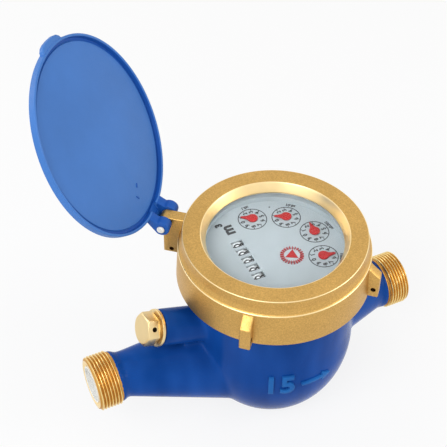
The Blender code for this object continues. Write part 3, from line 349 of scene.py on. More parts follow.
def arc(centre, radius, first, last, parts):
    """Points along an arc, in degrees."""
    made = []
    for i in range(parts):
        x, y = polar(radius, first + (last - first) * i / (parts - 1))
        made.append((centre[0] + x, centre[1] + y))
    return made


def plate(name, outline, low, high, material=None):
    """A flat outline given a thickness along Z."""
    sides = len(outline)
    points = [(x, y, low) for x, y in outline] + [(x, y, high) for x, y in outline]
    faces = [list(range(sides))[::-1], list(range(sides, 2 * sides))]
    for i in range(sides):
        j = (i + 1) % sides
        faces.append([i, j, sides + j, sides + i])
    return shape(name, points, faces, material)


def settle(piece):
    """Works the modifiers into the mesh and takes them off."""
    graph = bpy.context.evaluated_depsgraph_get()
    mesh = bpy.data.meshes.new_from_object(piece.evaluated_get(graph))
    old = piece.data
    piece.modifiers.clear()
    piece.data = mesh
    bpy.data.meshes.remove(old)
    return piece


def break_edges(piece, size, parts=3, angle=30.0):
    """Rounds the sharp edges of a piece."""
    bevel = piece.modifiers.new("edges", "BEVEL")
    bevel.width = size
    bevel.segments = parts
    bevel.limit_method = "ANGLE"
    bevel.angle_limit = math.radians(angle)
    bevel.use_clamp_overlap = True
    return settle(piece)


def drop_slivers(piece, size=2e-6):
    """Takes out the faces and edges that a cut leaves with no width."""
    with opened(piece.data) as work:
        bmesh.ops.remove_doubles(work, verts=work.verts, dist=size)
        bmesh.ops.dissolve_degenerate(work, edges=work.edges, dist=size)


def work_in(piece, operation, tools, solver="EXACT"):
    """Cuts the tools out of a piece or joins them to it, and takes the tools away."""
    for tool in tools:
        step = piece.modifiers.new("cut", "BOOLEAN")
        step.operation = operation
        step.solver = solver
        step.object = tool
    settle(piece)
    if not piece.data.polygons:
        raise RuntimeError(f"nothing is left of {piece.name}")
    drop_slivers(piece)
    scrap(tools)


def gather(piece, others):
    """Adds the meshes of other pieces to a piece as they are."""
    with opened(piece.data) as work:
        for other in others:
            work.from_mesh(other.data)
    scrap(others)
    return piece


def refine(piece, longest):
    """Splits the long edges of a piece, so it can be bent."""
    with opened(piece.data) as work:
        bmesh.ops.triangulate(work, faces=work.faces)
        for _ in range(4):
            long_edges = [edge for edge in work.edges if edge.calc_length() > longest * MM]
            if not long_edges:
                break
            bmesh.ops.subdivide_edges(work, edges=long_edges, cuts=1)
            bmesh.ops.triangulate(work, faces=work.faces)
    return piece


def bend(piece, rule):
    """Moves every point of a piece by a rule from millimetres to millimetres."""
    for vertex in piece.data.vertices:
        vertex.co = Vector(rule(vertex.co / MM)) * MM
    face_outwards(piece.data)
    return piece


def shift(piece, matrix):
    """Moves the mesh, with the matrix in millimetres, and leaves the object at the origin."""
    metres = matrix.copy()
    metres.translation = matrix.translation * MM
    piece.data.transform(metres)
    return piece


def shade(piece, angle=32.0):
    """Shades a piece smooth, apart from edges that turn by more than the angle."""
    piece.data.shade_smooth()
    piece.data.set_sharp_from_angle(angle=math.radians(angle))
    return piece


def coat(piece, name):
    """Gives a whole piece one finish."""
    piece.data.materials.clear()
    piece.data.materials.append(finish(name))


def repaint(piece, name, chosen):
    """Gives the faces whose centre in millimetres is chosen another finish."""
    piece.data.materials.append(finish(name))
    for face in piece.data.polygons:
        if chosen(face.center / MM):
            face.material_index = len(piece.data.materials) - 1


def hand_over(piece, body, slot, *nodes):
    """Lets a finished piece ride on its body and hides the nodes it stands for. The slot is not used."""
    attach(piece, body)
    if nodes:
        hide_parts(*nodes)


def letters(text, height, thickness, material, weight=0.0, edge=0.0):
    """Plain raised letters, centred on the origin, as one closed mesh. The weight thickens the strokes."""
    curve = bpy.data.curves.new("letters", "FONT")
    curve.body = text
    curve.size = height * MM / 0.7
    curve.extrude = thickness * MM / 2.0
    curve.resolution_u = 3
    curve.offset = weight * MM
    curve.bevel_depth = edge * MM
    curve.bevel_resolution = 2
    curve.align_x = "CENTER"
    curve.align_y = "CENTER"
    holder = bpy.data.objects.new("letters", curve)
    bpy.context.scene.collection.objects.link(holder)
    graph = bpy.context.evaluated_depsgraph_get()
    mesh = bpy.data.meshes.new_from_object(holder.evaluated_get(graph))
    bpy.data.objects.remove(holder)
    bpy.data.curves.remove(curve)
    mesh.materials.clear()
    face_outwards(mesh, weld=1e-6)
    return put("letters", mesh, material)


# Patterns that repeat, as node trees


def tree_node(tree, kind, settings=None, inputs=None):
    """Adds a node, and sets or joins its inputs by name or number."""
    made = tree.nodes.new(kind)
    for key, value in (settings or {}).items():
        setattr(made, key, value)
    for key, value in (inputs or {}).items():
        if isinstance(value, bpy.types.NodeSocket):
            tree.links.new(value, made.inputs[key])
        else:
            made.inputs[key].default_value = value
    return made


def reckon(tree, operation, *values):
    return tree_node(tree, "ShaderNodeMath", {"operation": operation}, dict(enumerate(values))).outputs[0]


def new_tree(name, sockets):
    """A tree with a geometry going in and out, and with the other named inputs."""
    tree = bpy.data.node_groups.new(name, "GeometryNodeTree")
    tree.interface.new_socket("Geometry", in_out="INPUT", socket_type="NodeSocketGeometry")
    for label, kind in sockets.items():
        tree.interface.new_socket(label, in_out="INPUT", socket_type="NodeSocket" + kind)
    tree.interface.new_socket("Geometry", in_out="OUTPUT", socket_type="NodeSocketGeometry")
    return tree, tree.nodes.new("NodeGroupInput").outputs


def end_tree(tree, given, geometry):
    """Makes the copies real, gives them the material and closes the tree."""
    plain = tree_node(tree, "GeometryNodeRealizeInstances", inputs={"Geometry": geometry})
    painted = tree_node(tree, "GeometryNodeSetMaterial",
                        inputs={"Geometry": plain.outputs[0], "Material": given["Material"]})
    tree_node(tree, "NodeGroupOutput", inputs={0: painted.outputs[0]})
    return tree


def thread_tree():
    """Lifts the outside of a turned blank into a screw thread that runs out at both ends."""
    tree, given = new_tree("screw_thread", {
        "Pitch": "Float", "Height": "Float", "Root": "Float", "Length": "Float", "Material": "Material"})

    def fade(value, start, end, smooth=True):
        settings = {"interpolation_type": "SMOOTHSTEP"} if smooth else None
        made = tree_node(tree, "ShaderNodeMapRange", settings,
                         {"Value": value, "From Min": start, "From Max": end})
        return made.outputs[0]

    place = tree_node(tree, "GeometryNodeInputPosition")
    parts = tree_node(tree, "ShaderNodeSeparateXYZ", inputs={0: place.outputs[0]}).outputs
    angle = reckon(tree, "DIVIDE", reckon(tree, "ARCTAN2", parts["Y"], parts["X"]), TURN)
    turns = reckon(tree, "DIVIDE", parts["Z"], given["Pitch"])
    phase = reckon(tree, "FRACT", reckon(tree, "SUBTRACT", turns, angle))
    slope = reckon(tree, "ABSOLUTE", reckon(tree, "SUBTRACT", reckon(tree, "MULTIPLY", phase, 2.0), 1.0))
    lead = reckon(tree, "MULTIPLY", given["Height"], 0.9)
    lift = reckon(tree, "MULTIPLY", fade(slope, 0.88, 0.06), given["Height"])
    lift = reckon(tree, "MULTIPLY", lift, fade(parts["Z"], 0.0, reckon(tree, "MULTIPLY", given["Pitch"], 0.2)))
    lift = reckon(tree, "MULTIPLY", lift, fade(parts["Z"], given["Length"],
                                               reckon(tree, "SUBTRACT", given["Length"], lead), smooth=False))
    flat = tree_node(tree, "ShaderNodeCombineXYZ", inputs={"X": parts["X"], "Y": parts["Y"]})
    radius = tree_node(tree, "ShaderNodeVectorMath", {"operation": "LENGTH"}, {0: flat.outputs[0]})
    outside = reckon(tree, "GREATER_THAN", radius.outputs["Value"],
                     reckon(tree, "SUBTRACT", given["Root"], 0.0003))
    outward = tree_node(tree, "ShaderNodeVectorMath", {"operation": "NORMALIZE"}, {0: flat.outputs[0]})
    offset = tree_node(tree, "ShaderNodeVectorMath", {"operation": "SCALE"},
                       {0: outward.outputs[0], "Scale": lift})
    raised = tree_node(tree, "GeometryNodeSetPosition",
                       inputs={"Geometry": given["Geometry"], "Selection": outside, "Offset": offset.outputs[0]})
    return end_tree(tree, given, raised.outputs[0])


def marks_tree():
    """Sets small bars round a circle, each pointing at its centre."""
    tree, given = new_tree("ring_of_marks", {
        "Count": "Int", "Radius": "Float", "Bar": "Vector", "Centre": "Vector", "Material": "Material"})
    circle = tree_node(tree, "GeometryNodeMeshCircle",
                       inputs={"Vertices": given["Count"], "Radius": given["Radius"]})
    mark = tree_node(tree, "GeometryNodeMeshCube", inputs={"Size": given["Bar"]})
    place = tree_node(tree, "GeometryNodeInputPosition")
    aim = tree_node(tree, "FunctionNodeAlignRotationToVector", {"axis": "X"}, {"Vector": place.outputs[0]})
    copies = tree_node(tree, "GeometryNodeInstanceOnPoints", inputs={
        "Points": circle.outputs["Mesh"], "Instance": mark.outputs["Mesh"], "Rotation": aim.outputs[0]})
    placed = tree_node(tree, "GeometryNodeTransform",
                       inputs={"Geometry": copies.outputs[0], "Translation": given["Centre"]})
    return end_tree(tree, given, placed.outputs[0])


def grow(piece, tree, values):
    """Runs a node tree on a piece with the values of its named inputs, and keeps the plain mesh."""
    step = piece.modifiers.new(tree.name, "NODES")
    step.node_group = tree
    named = {item.name: item.identifier for item in tree.interface.items_tree if item.in_out == "INPUT"}
    for label, value in values.items():
        step[named[label]] = value
    settle(piece)
    piece.data.materials.clear()
    piece.data.materials.append(values["Material"])
    for face in piece.data.polygons:
        face.material_index = 0
    return piece


def marks(number, radius, size, centre, material):
    """A ring of bars: its radius, each bar's length, width and height, and the centre in millimetres."""
    return grow(put("marks", bpy.data.meshes.new("marks")), marks_tree(), {
        "Count": number, "Radius": radius * MM, "Bar": [side * MM for side in size],
        "Centre": [side * MM for side in centre], "Material": material})


# Finishes


def new_finish(name, **constants):
    """A material whose shader has these constant values, and its tree, ready for its pattern."""
    material = bpy.data.materials.new(name)
    material.use_nodes = True
    for key, value in constants.items():
        shader_of(material).inputs[key.replace("_", " ").title().replace("Ior", "IOR")].default_value = value
    return material, material.node_tree


def shader_of(material):
    return material.node_tree.nodes["Principled BSDF"]


def place_on(tree, shifted=(0.0, 0.0, 0.0), scaled=(1.0, 1.0, 1.0)):
    coords = tree_node(tree, "ShaderNodeTexCoord")
    mapping = tree_node(tree, "ShaderNodeMapping",
                        inputs={"Vector": coords.outputs["Object"], "Location": shifted, "Scale": scaled})
    return mapping.outputs[0]


def noise(tree, place, scale, detail=3.0, roughness=0.55):
    made = tree_node(tree, "ShaderNodeTexNoise",
                     inputs={"Vector": place, "Scale": scale, "Detail": detail, "Roughness": roughness})
    return made.outputs["Fac"]


def spread(tree, value, low, high, start=0.3, end=0.7):
    """Maps a pattern's middle values onto a range."""
    made = tree_node(tree, "ShaderNodeMapRange",
                     inputs={"Value": value, "From Min": start, "From Max": end, "To Min": low, "To Max": high})
    return made.outputs[0]


def tint(colour, factor):
    """A colour made lighter or darker, with its fourth value."""
    return tuple(min(1.0, part * factor) for part in colour[:3]) + (1.0,)


def blended(tree, value, first, second):
    """Mixes two colours or colour outputs by a value."""
    made = tree_node(tree, "ShaderNodeMix", {"data_type": "RGBA"}, {"Factor": value})
    for socket, colour in (("A", first), ("B", second)):
        target = [s for s in made.inputs if s.name == socket and s.type == "RGBA"][0]
        if isinstance(colour, bpy.types.NodeSocket):
            tree.links.new(colour, target)
        else:
            target.default_value = colour
    return [s for s in made.outputs if s.type == "RGBA"][0]


def cover(material, colour, roughness, *layers):
    """Joins a colour and a roughness to the shader, and bumps it by layers of (pattern, strength,
    depth in metres), the first one deepest."""
    made = {"Base Color": colour, "Roughness": roughness}
    for pattern, strength, depth in layers:
        inputs = {"Height": pattern, "Strength": strength, "Distance": depth}
        if "Normal" in made:
            inputs["Normal"] = made["Normal"]
        made["Normal"] = tree_node(material.node_tree, "ShaderNodeBump", inputs=inputs).outputs[0]
    for socket, value in made.items():
        material.node_tree.links.new(value, shader_of(material).inputs[socket])
    return material


def overlay(material, share, shader):
    """Shows another shader in place of the finish's own, by that share."""
    tree = material.node_tree
    mixed = tree_node(tree, "ShaderNodeMixShader",
                      inputs={0: share, 1: shader_of(material).outputs[0], 2: shader.outputs[0]})
    tree.links.new(mixed.outputs[0], tree.nodes["Material Output"].inputs["Surface"])
    return material


def enamel(name, colour):
    """Thick glossy paint over a casting: slight runs, a little orange peel and specks of dust. The lighter vertical
    streaks along the runs are a painted reflection.
    """
    material, tree = new_finish(name, ior=1.13)
    place = place_on(tree)
    runs = noise(tree, place_on(tree, (0.0, 0.024, 0.0), (1.0, 1.0, 0.3)), 50.0, 2.0)
    peel = noise(tree, place, 420.0, 2.0)
    grit = noise(tree, place, 1500.0, 3.0)
    # lighter blue along the vertical runs: painted reflection bands, while the runs' relief is real
    painted_reflection = (colour[0] + 0.010, colour[1] * 1.6, colour[2] * 1.35, 1.0)
    mixed = blended(tree, spread(tree, runs, 0.0, 1.0), tint(colour, 0.84), painted_reflection)
    mixed = blended(tree, spread(tree, grit, 0.0, 0.22, 0.60, 0.75), mixed, tint(colour, 2.2))
    return cover(material, mixed, spread(tree, peel, 0.14, 0.25),
                 (runs, 0.25, 0.0012), (peel, 0.10, 0.0003), (grit, 0.05, 0.0001))


def blasted_brass(name, colour):
    """Shot-blasted brass: fine pits, darker down in them and with painted glints on their rims, and a little tarnish
    in patches.
    """
    material, tree = new_finish(name, metallic=1.0)
    place = place_on(tree)
    patches = noise(tree, place, 70.0, 3.0)
    pits = noise(tree, place, 1500.0, 5.0, 0.75)
    mixed = blended(tree, spread(tree, patches, 0.0, 1.0), tint(colour, 0.94), tint(colour, 1.07))
    mixed = blended(tree, spread(tree, pits, 0.75, 0.0, 0.32, 0.58), mixed, tint(colour, 0.66))
    # lighter brass on the rims of the pits: painted glints
    mixed = blended(tree, spread(tree, pits, 0.0, 0.55, 0.55, 0.75), mixed, tint(colour, 1.35))
    return cover(material, mixed, spread(tree, pits, 0.50, 0.36), (patches, 0.05, 0.0008), (pits, 0.45, 0.00016))


def turned_brass(name, colour):
    """Bright brass with the fine rings that the tool left round its axis."""
    material, tree = new_finish(name, metallic=1.0)
    place = place_on(tree)
    rings = tree_node(tree, "ShaderNodeTexWave", {"wave_type": "RINGS", "rings_direction": "Z"},
                      {"Vector": place, "Scale": 900.0, "Distortion": 1.5, "Detail": 2.0, "Detail Scale": 3.0})
    smears = noise(tree, place, 160.0, 3.0)
    mixed = blended(tree, spread(tree, smears, 0.0, 1.0), tint(colour, 0.97), tint(colour, 1.03))
    return cover(material, mixed, spread(tree, smears, 0.33, 0.37), (rings.outputs["Fac"], 0.10, 0.00004))


def thread_brass(name, colour):
    """Cut brass, duller down in the grooves, with painted shade in the grooves and a painted highlight on the crests.
    """
    material, tree = new_finish(name, metallic=1.0)
    place = place_on(tree, (0.0, 0.0, -PIPE_HEIGHT * MM), (0.0, 1.0, 1.0))
    radius = tree_node(tree, "ShaderNodeVectorMath", {"operation": "LENGTH"}, {0: place}).outputs["Value"]
    height = spread(tree, radius, 0.0, 1.0, GROOVE_RADIUS * MM, CREST_RADIUS * MM)
    spots = noise(tree, place_on(tree), 500.0, 4.0)
    # dark brass in the grooves and bright brass on the crests: painted shade and painted highlight
    mixed = blended(tree, height, (0.590, 0.310, 0.070, 1.0), (1.0, 0.780, 0.330, 1.0))
    mixed = blended(tree, spread(tree, spots, 0.0, 0.35, 0.50, 0.75), mixed, tint(colour, 0.90))
    return cover(material, mixed, spread(tree, height, 0.50, 0.30, 0.0, 1.0), (spots, 0.12, 0.0001))


def moulded(name, colour, rough, grain=1800.0, strength=0.10, **constants):
    """Moulded plastic with a fine skin, faint flow clouds and a slightly uneven gloss."""
    material, tree = new_finish(name, **constants)
    place = place_on(tree)
    clouds = noise(tree, place, 34.0, 3.0)
    skin = noise(tree, place, grain, 3.0)
    mixed = blended(tree, spread(tree, clouds, 0.0, 1.0), tint(colour, 0.93), tint(colour, 1.07))
    return cover(material, mixed, spread(tree, skin, *rough), (clouds, 0.08, 0.0010), (skin, strength, 0.00008))


def drawn_steel(name):
    """Steel with the fine lines of drawing along its axis."""
    material, tree = new_finish(name, metallic=1.0)
    lines = noise(tree, place_on(tree, scaled=(1.0, 1.0, 0.05)), 3000.0, 3.0)
    mixed = blended(tree, spread(tree, lines, 0.0, 1.0), (0.50, 0.51, 0.52, 1.0), (0.66, 0.67, 0.68, 1.0))
    return cover(material, mixed, spread(tree, lines, 0.22, 0.36), (lines, 0.08, 0.00005))


def printed(name, colour):
    """Screen-printed ink, thin and slightly uneven."""
    material, tree = new_finish(name)
    film = noise(tree, place_on(tree), 2200.0, 2.0)
    mixed = blended(tree, spread(tree, film, 0.0, 1.0), tint(colour, 1.0), tint(colour, 1.35))
    return cover(material, mixed, spread(tree, film, 0.35, 0.5))


def clear_glass(name):
    """Clear glass that lets the lamps light the dial, with a faint film of dust on it."""
    material, tree = new_finish(name, transmission_weight=1.0, ior=1.45, specular_tint=(0.20, 0.20, 0.20, 1.0))
    film = noise(tree, place_on(tree), 140.0, 4.0)
    mixed = blended(tree, spread(tree, film, 0.0, 1.0), (0.97, 0.985, 0.98, 1.0), WHITE)
    cover(material, mixed, spread(tree, film, 0.0, 0.03, 0.45, 0.8))
    ray = tree_node(tree, "ShaderNodeLightPath").outputs
    return overlay(material, ray["Is Shadow Ray"], tree_node(tree, "ShaderNodeBsdfTransparent"))


FINISHES = {}


def make_finishes(colours):
    """Makes every finish once, from the colours in the panel."""
    lid_skin = ((0.36, 0.50), 1500.0, 0.12)
    FINISHES.clear()
    FINISHES.update({
        "enamel": enamel("cast_enamel", colours.enamel),
        # the cast figures' lighter blue is a painted highlight on their edges
        "raised": enamel("highlight_enamel", (0.012, 0.100, 0.360)),
        "blasted": blasted_brass("blasted_brass", colours.brass),
        # dark brass on the walls of the seal holes is painted shade
        "hole_shade": blasted_brass("hole_shade_brass", (0.130, 0.060, 0.022)),
        "turned": turned_brass("turned_brass", colours.bright_brass),
        "milled": turned_brass("milled_brass", tint(colours.bright_brass, 0.86)),
        "thread": thread_brass("thread_brass", colours.brass),
        "lid": moulded("lid_plastic", colours.lid, *lid_skin, specular_ior_level=0.35),
        # the darker blue on the lid's groove, ears and mould marks is painted shade
        "lid_shade": moulded("lid_shade_blue", (0.010, 0.092, 0.400), *lid_skin, specular_ior_level=0.25),
        "dial": moulded("dial_face", colours.dial, (0.42, 0.55), 2400.0, 0.04),
        "red": moulded("pointer_red", colours.red, (0.30, 0.42), specular_ior_level=0.25),
        "white": moulded("natural_plastic", (0.80, 0.80, 0.77), (0.34, 0.46)),
        "drum": moulded("drum_plastic", (0.84, 0.88, 0.90), (0.40, 0.52)),
        "grey": moulded("grey_plastic", (0.30, 0.32, 0.33), (0.38, 0.50)),
        "rubber": moulded("seal_rubber", (0.022, 0.022, 0.023), (0.55, 0.75), 2400.0, 0.25),
        "steel": drawn_steel("drawn_steel"),
        "ink": printed("dial_ink", colours.ink),
        "glass": clear_glass("clear_glass"),
    })


def finish(name):
    if name not in FINISHES:
        raise RuntimeError("the finishes aren't made yet: run Make finishes first")
    return FINISHES[name]


class METER_OT_finishes(bpy.types.Operator):
    """Make every finish of the meter"""

    bl_idname = "meter.finishes"
    bl_label = "Make finishes"

    def execute(self, context):
        make_finishes(context.scene.meter_colours)
        return {"FINISHED"}


# The cast body


def bowl_radius(height):
    """The bowl is half an ellipsoid below its widest height, and narrows a little above it."""
    if height > BOWL_HEIGHT:
        return max(NECK_RADIUS, BOWL_RADIUS - 0.04 * (height - BOWL_HEIGHT))
    return BOWL_RADIUS * math.sqrt(max(0.0, 1.0 - ((BOWL_HEIGHT - height) / BOWL_DEPTH) ** 2))


def bowl_hollow(height):
    return 35.3 * math.sqrt(max(0.0, 1.0 - ((BOWL_HEIGHT - height) / 43.0) ** 2))


def cone(name, start, end, start_radius, end_radius, steps=96):
    """A solid cone between two points in millimetres."""
    start = Vector(start)
    end = Vector(end)
    reach = (end - start).length
    piece = lathe(name, [(0.0, 0.0), (start_radius, 0.0), (end_radius, reach), (0.0, reach)], steps)
    return shift(piece, Matrix.Translation(start) @ (end - start).to_track_quat("Z", "Y").to_matrix().to_4x4())


def casting_blank():
    """The bowl, neck, arms, collars, boss and web as overlapping solids."""
    profile = [(0.0, 0.0), (22.0, 0.0)]
    profile += [(bowl_radius(0.8 + 39.2 * i / 24), 0.8 + 39.2 * i / 24) for i in range(25)]
    profile += [(NECK_RADIUS, 50.0), (NECK_RADIUS, 88.9), (0.0, 88.9)]
    blank = lathe("cast_body", profile, 160)
    parts = [
        cone("arm", (-78.5, 0.0, PIPE_HEIGHT), (-19.0, 0.0, 26.5), INLET_ARM, 23.0),
        cone("arm", (56.5, 0.0, PIPE_HEIGHT), (30.0, 0.0, 46.0), OUTLET_ARM, 22.0),
        cone("boss", BOSS_MOUTH, BOSS_ROOT, BOSS_RADIUS, BOSS_RADIUS),
        plate("web", [(-47.0, -4.0), (-34.9, -4.0), (-34.9, 4.0), (-47.0, 4.0)], PIPE_HEIGHT, 60.3),
    ]
    for side, face, arm in ((-1, INLET_FACE, INLET_ARM), (1, OUTLET_FACE, OUTLET_ARM)):
        collar = [(0.0, 0.0), (12.5, 0.0), (12.5, -1.2), (arm, -4.0), (arm, -8.0), (0.0, -8.0)]
        parts.append(shift(lathe("collar", collar, 96), pipe_frame(side, face - side * THREAD_LENGTH)))
    return gather(blank, parts)


def hollow_tools():
    """The cutters for the meter's inside: chamber, neck, channels, bores and the boss's mouth."""
    profile = [(0.0, 5.0)]
    profile += [(bowl_hollow(5.0 + 34.0 * i / 16), 5.0 + 34.0 * i / 16) for i in range(17)]
    profile += [(24.9, 39.0), (24.9, SEAT_HEIGHT), (34.9, SEAT_HEIGHT), (34.9, 95.0), (0.0, 95.0)]
    tools = [lathe("chamber_space", profile, 128)]
    for side, face in ((-1, INLET_FACE), (1, OUTLET_FACE)):
        start = (face - side * 16.0, 0.0, PIPE_HEIGHT)
        end = (side * 30.7, 0.0, PIPE_HEIGHT + side * 11.0)
        tools.append(cone("channel", start, end, 6.8, 6.8, 48))
        tools.append(shift(lathe("bore", bar(PIPE_BORE, 2.0, -18.0), 64), pipe_frame(side, face)))
    mouth = [(0.0, 2.0), (6.2, 2.0), (6.2, -7.0), (4.0, -7.0), (4.0, -30.0), (0.0, -30.0)]
    tools.append(shift(lathe("mouth", mouth, 48), boss_frame()))
    return tools


def wrap_on_bowl(piece, angle, height):
    """Bends flat letters round the bowl, facing out at that angle and height."""
    def onto(flat):
        level = height + flat.y
        turn = math.radians(angle) + flat.x / bowl_radius(height)
        radius = bowl_radius(level) + flat.z
        return radius * math.cos(turn), radius * math.sin(turn), level
    return bend(refine(piece, 2.0), onto)


class METER_OT_body(bpy.types.Operator):
    """Cast the painted body, hollow it and raise its figures"""

    bl_idname = "meter.body"
    bl_label = "Cast the body"

    def execute(self, context):
        sizes = context.scene.meter_casting
        body = casting_blank()
        grain = body.modifiers.new("grain", "REMESH")
        grain.mode = "VOXEL"
        grain.voxel_size = sizes.grain
        rub = body.modifiers.new("rub", "SMOOTH")
        rub.factor = 0.5
        rub.iterations = sizes.rounding
        settle(body)
        work_in(body, "DIFFERENCE", hollow_tools(), "MANIFOLD")
        coat(body, "enamel")
        shade(body, 50.0)
        hand_over(body, "meter", "blue_paint", "meter_body")
        hand_over(self.figures(sizes.mark_height / MM), "meter", "blue_paint")
        return {"FINISHED"}

    def figures(self, height):
        """The pipe size and the arrow of flow, cast on the front of the bowl, in a lighter blue that is a painted
        highlight.
        """
        number = letters("15", 11.0, 2.0 * height, finish("raised"), 0.10, 0.35)
        wrap_on_bowl(number, -111.0, 40.0)
        number.name = "cast_figures"
        outline = [(-8.0, -0.9), (3.0, -0.9), (3.0, -2.8), (8.0, 0.0), (3.0, 2.8), (3.0, 0.9), (-8.0, 0.9)]
        arrow = plate("arrow", outline, -height, 1.3 * height, finish("raised"))
        break_edges(arrow, 0.00035)
        wrap_on_bowl(arrow, -84.0, 39.0)
        return shade(gather(number, [arrow]), 40.0)


# Turned and cut brass


class METER_OT_pipe_ends(bpy.types.Operator):
    """Turn the two unpainted pipe ends and cut their threads"""

    bl_idname = "meter.pipe_ends"
    bl_label = "Cut the pipe ends"

    def execute(self, context):
        sizes = context.scene.meter_brass
        tree = thread_tree()
        for name, side, face, bore in (("inlet_end", -1, INLET_FACE, 9.2), ("outlet_end", 1, OUTLET_FACE, PIPE_BORE)):
            piece = self.blank(name, bore)
            grow(piece, tree, {"Pitch": sizes.pitch, "Height": sizes.thread_height, "Root": THREAD_ROOT * MM,
                               "Length": THREAD_LENGTH * MM, "Material": finish("thread")})
            repaint(piece, "turned", self.on_face)
            shift(piece, pipe_frame(side, face - side * THREAD_LENGTH))
            face_outwards(piece.data)
            shade(piece, 38.0)
            hand_over(piece, "meter", "brass")
        return {"FINISHED"}

    def on_face(self, at):
        return at.z > THREAD_LENGTH - 1.3 and math.hypot(at.x, at.y) < 11.7

    def blank(self, name, bore):
        """The end before its thread is cut, in fine steps along the thread."""
        steps = 78
        profile = [(PIPE_BORE, -0.6), (THREAD_ROOT, -0.6)]
        profile += [(THREAD_ROOT, (THREAD_LENGTH - 0.5) * i / steps) for i in range(steps + 1)]
        profile += [(11.9, THREAD_LENGTH - 0.2), (11.6, THREAD_LENGTH), (bore + 1.5, THREAD_LENGTH),
                    (bore + 0.1, THREAD_LENGTH - 1.1), (bore, THREAD_LENGTH - 1.3)]
        if bore > PIPE_BORE:
            profile += [(bore, 1.0), (PIPE_BORE, 1.0)]
        return lathe(name, profile, 128, ring=True)


class METER_OT_ring(bpy.types.Operator):
    """Turn the cover ring and join its lugs"""

    bl_idname = "meter.ring"
    bl_label = "Turn the cover ring"

    def execute(self, context):
        edge = context.scene.meter_brass.edge
        ring = self.band(edge)
        work_in(ring, "UNION", [self.lug(angle, edge) for angle in LUG_ANGLES] + [self.hinge_lug(edge)])
        holes = [self.hole(*place, 4.5) for place in self.seal_holes()]
        holes.append(self.hole(HINGE_ANGLE, HINGE_RADIUS, HINGE_HEIGHT, PIN_HOLE, 6.0))
        work_in(ring, "DIFFERENCE", holes)
        coat(ring, "blasted")
        # bright brass on the bevel and on the crown and step edges: turned brass that also paints highlight lines
        repaint(ring, "turned", self.bright)
        # paints shade on the walls of the seal holes with dark brass
        repaint(ring, "hole_shade", self.in_hole)
        shade(ring, 28.0)
        hand_over(ring, "meter", "brass", "cover_ring")
        return {"FINISHED"}

    def band(self, edge):
        """The band with its bevelled window, its step and its sloping side."""
        profile = [
            (34.0, RING_TOP), (42.6, RING_TOP), (42.9, 97.2), (43.9, 94.6), (44.6, 94.3), (45.5, RING_BASE),
            (39.4, RING_BASE), (39.4, 96.7), (31.7, 96.7), (31.7, WINDOW_EDGE),
        ]
        return lathe("brass_ring", rounded(profile, edge / MM), 240, ring=True)

    def lug(self, angle, edge):
        """A cast lug with its corners rounded, from the band to its outer face."""
        outline = [(42.0, 93.6), (42.0, RING_BASE), (LUG_REACH, RING_BASE), (LUG_REACH, 88.7), (44.6, 93.6)]
        piece = plate("lug", outline, -2.6, 2.6)
        break_edges(piece, 1.6 * edge)
        return shift(piece, lug_frame(angle))

    def hinge_lug(self, edge):
        """The wider lug, which ends in the round knuckle of the hinge."""
        outline = [(41.0, 100.9), (41.0, 79.2), (52.5, 79.2), (52.5, 93.7), (54.5, 95.7)]
        outline += arc((HINGE_RADIUS, HINGE_HEIGHT), 2.6, 0.0, 90.0, 10)
        piece = plate("hinge_lug", outline, -2.9, 2.9)
        break_edges(piece, 1.2 * edge)
        return shift(piece, lug_frame(HINGE_ANGLE))

    def hole(self, angle, radius, height, size, reach):
        return shift(lathe("drill", bar(size, -reach, reach), 32), lug_frame(angle) @ moved(radius, height, 0.0))

    def bright(self, at):
        """True on the window's turned bevel and on the two thin turned edges, whose bright brass also paints their
        highlight lines.
        """
        radius = math.hypot(at.x, at.y)
        bevel = radius < 34.3 and at.z > WINDOW_EDGE - 0.3
        crown_edge = radius > 42.2 and at.z > RING_TOP - 0.4
        step_edge = 44.2 < radius < 44.7 and 93.9 < at.z < 94.4
        return bevel or crown_edge or step_edge

    def in_hole(self, at):
        """True for the walls of the seal holes, which lie between the sides of their lugs."""
        for angle, radius, height, size in self.seal_holes():
            place = lug_frame(angle).inverted() @ at
            if math.hypot(place.x - radius, place.y - height) < size + 0.05 and abs(place.z) < 2.0:
                return True
        return False

    def seal_holes(self):
        """The angle, radius, height and size of the hole in each lug."""
        return [(angle, 47.6, 81.2, 1.25) for angle in LUG_ANGLES] + [(HINGE_ANGLE, 48.7, 81.4, 1.1)]


class METER_OT_plug(bpy.types.Operator):
    """Cut the hexagon plug that closes the adjuster, with its flange and seal hole"""

    bl_idname = "meter.plug"
    bl_label = "Cut the plug"

    def execute(self, context):
        corners = [polar(PLUG_FLATS / math.sqrt(3.0), 30.0 + 60.0 * i) for i in range(6)]
        plug = plate("hexagon_plug", corners, 2.7, PLUG_TOP)
        chamfer = rounded([(0.0, 2.0), (12.0, 2.0), (12.0, 5.4), (6.7, PLUG_TOP), (0.0, PLUG_TOP)], 0.2)
        work_in(plug, "INTERSECT", [lathe("chamfer", chamfer, 96)])
        break_edges(plug, 0.00015, 2, 25.0)
        flange = rounded([(0.0, 1.1), (8.5, 1.1), (8.5, 0.35), (8.8, 0.35), (8.8, 1.7), (0.0, 1.7)], 0.2)
        work_in(plug, "UNION", [lathe("flange", flange, 96), lathe("shank", bar(5.9, -6.7, 2.9), 64)])
        hole = lathe("drill", bar(PLUG_HOLE_RADIUS, -9.0, 9.0), 32)
        work_in(plug, "DIFFERENCE", [shift(hole, moved(0.0, 0.0, PLUG_HOLE_HEIGHT) @ turned(90.0, "Y"))])
        coat(plug, "milled")
        # paints shade on the wall of the seal hole with dark brass
        repaint(plug, "hole_shade", self.in_hole)
        shift(plug, boss_frame() @ turned(PLUG_HEADING))
        shade(plug, 25.0)
        hand_over(plug, "meter", "brass", "regulating_plug")
        return {"FINISHED"}

    def in_hole(self, at):
        return math.hypot(at.y, at.z - PLUG_HOLE_HEIGHT) < PLUG_HOLE_RADIUS + 0.05 and abs(at.x) < 6.9


# The moulded lid and its pin


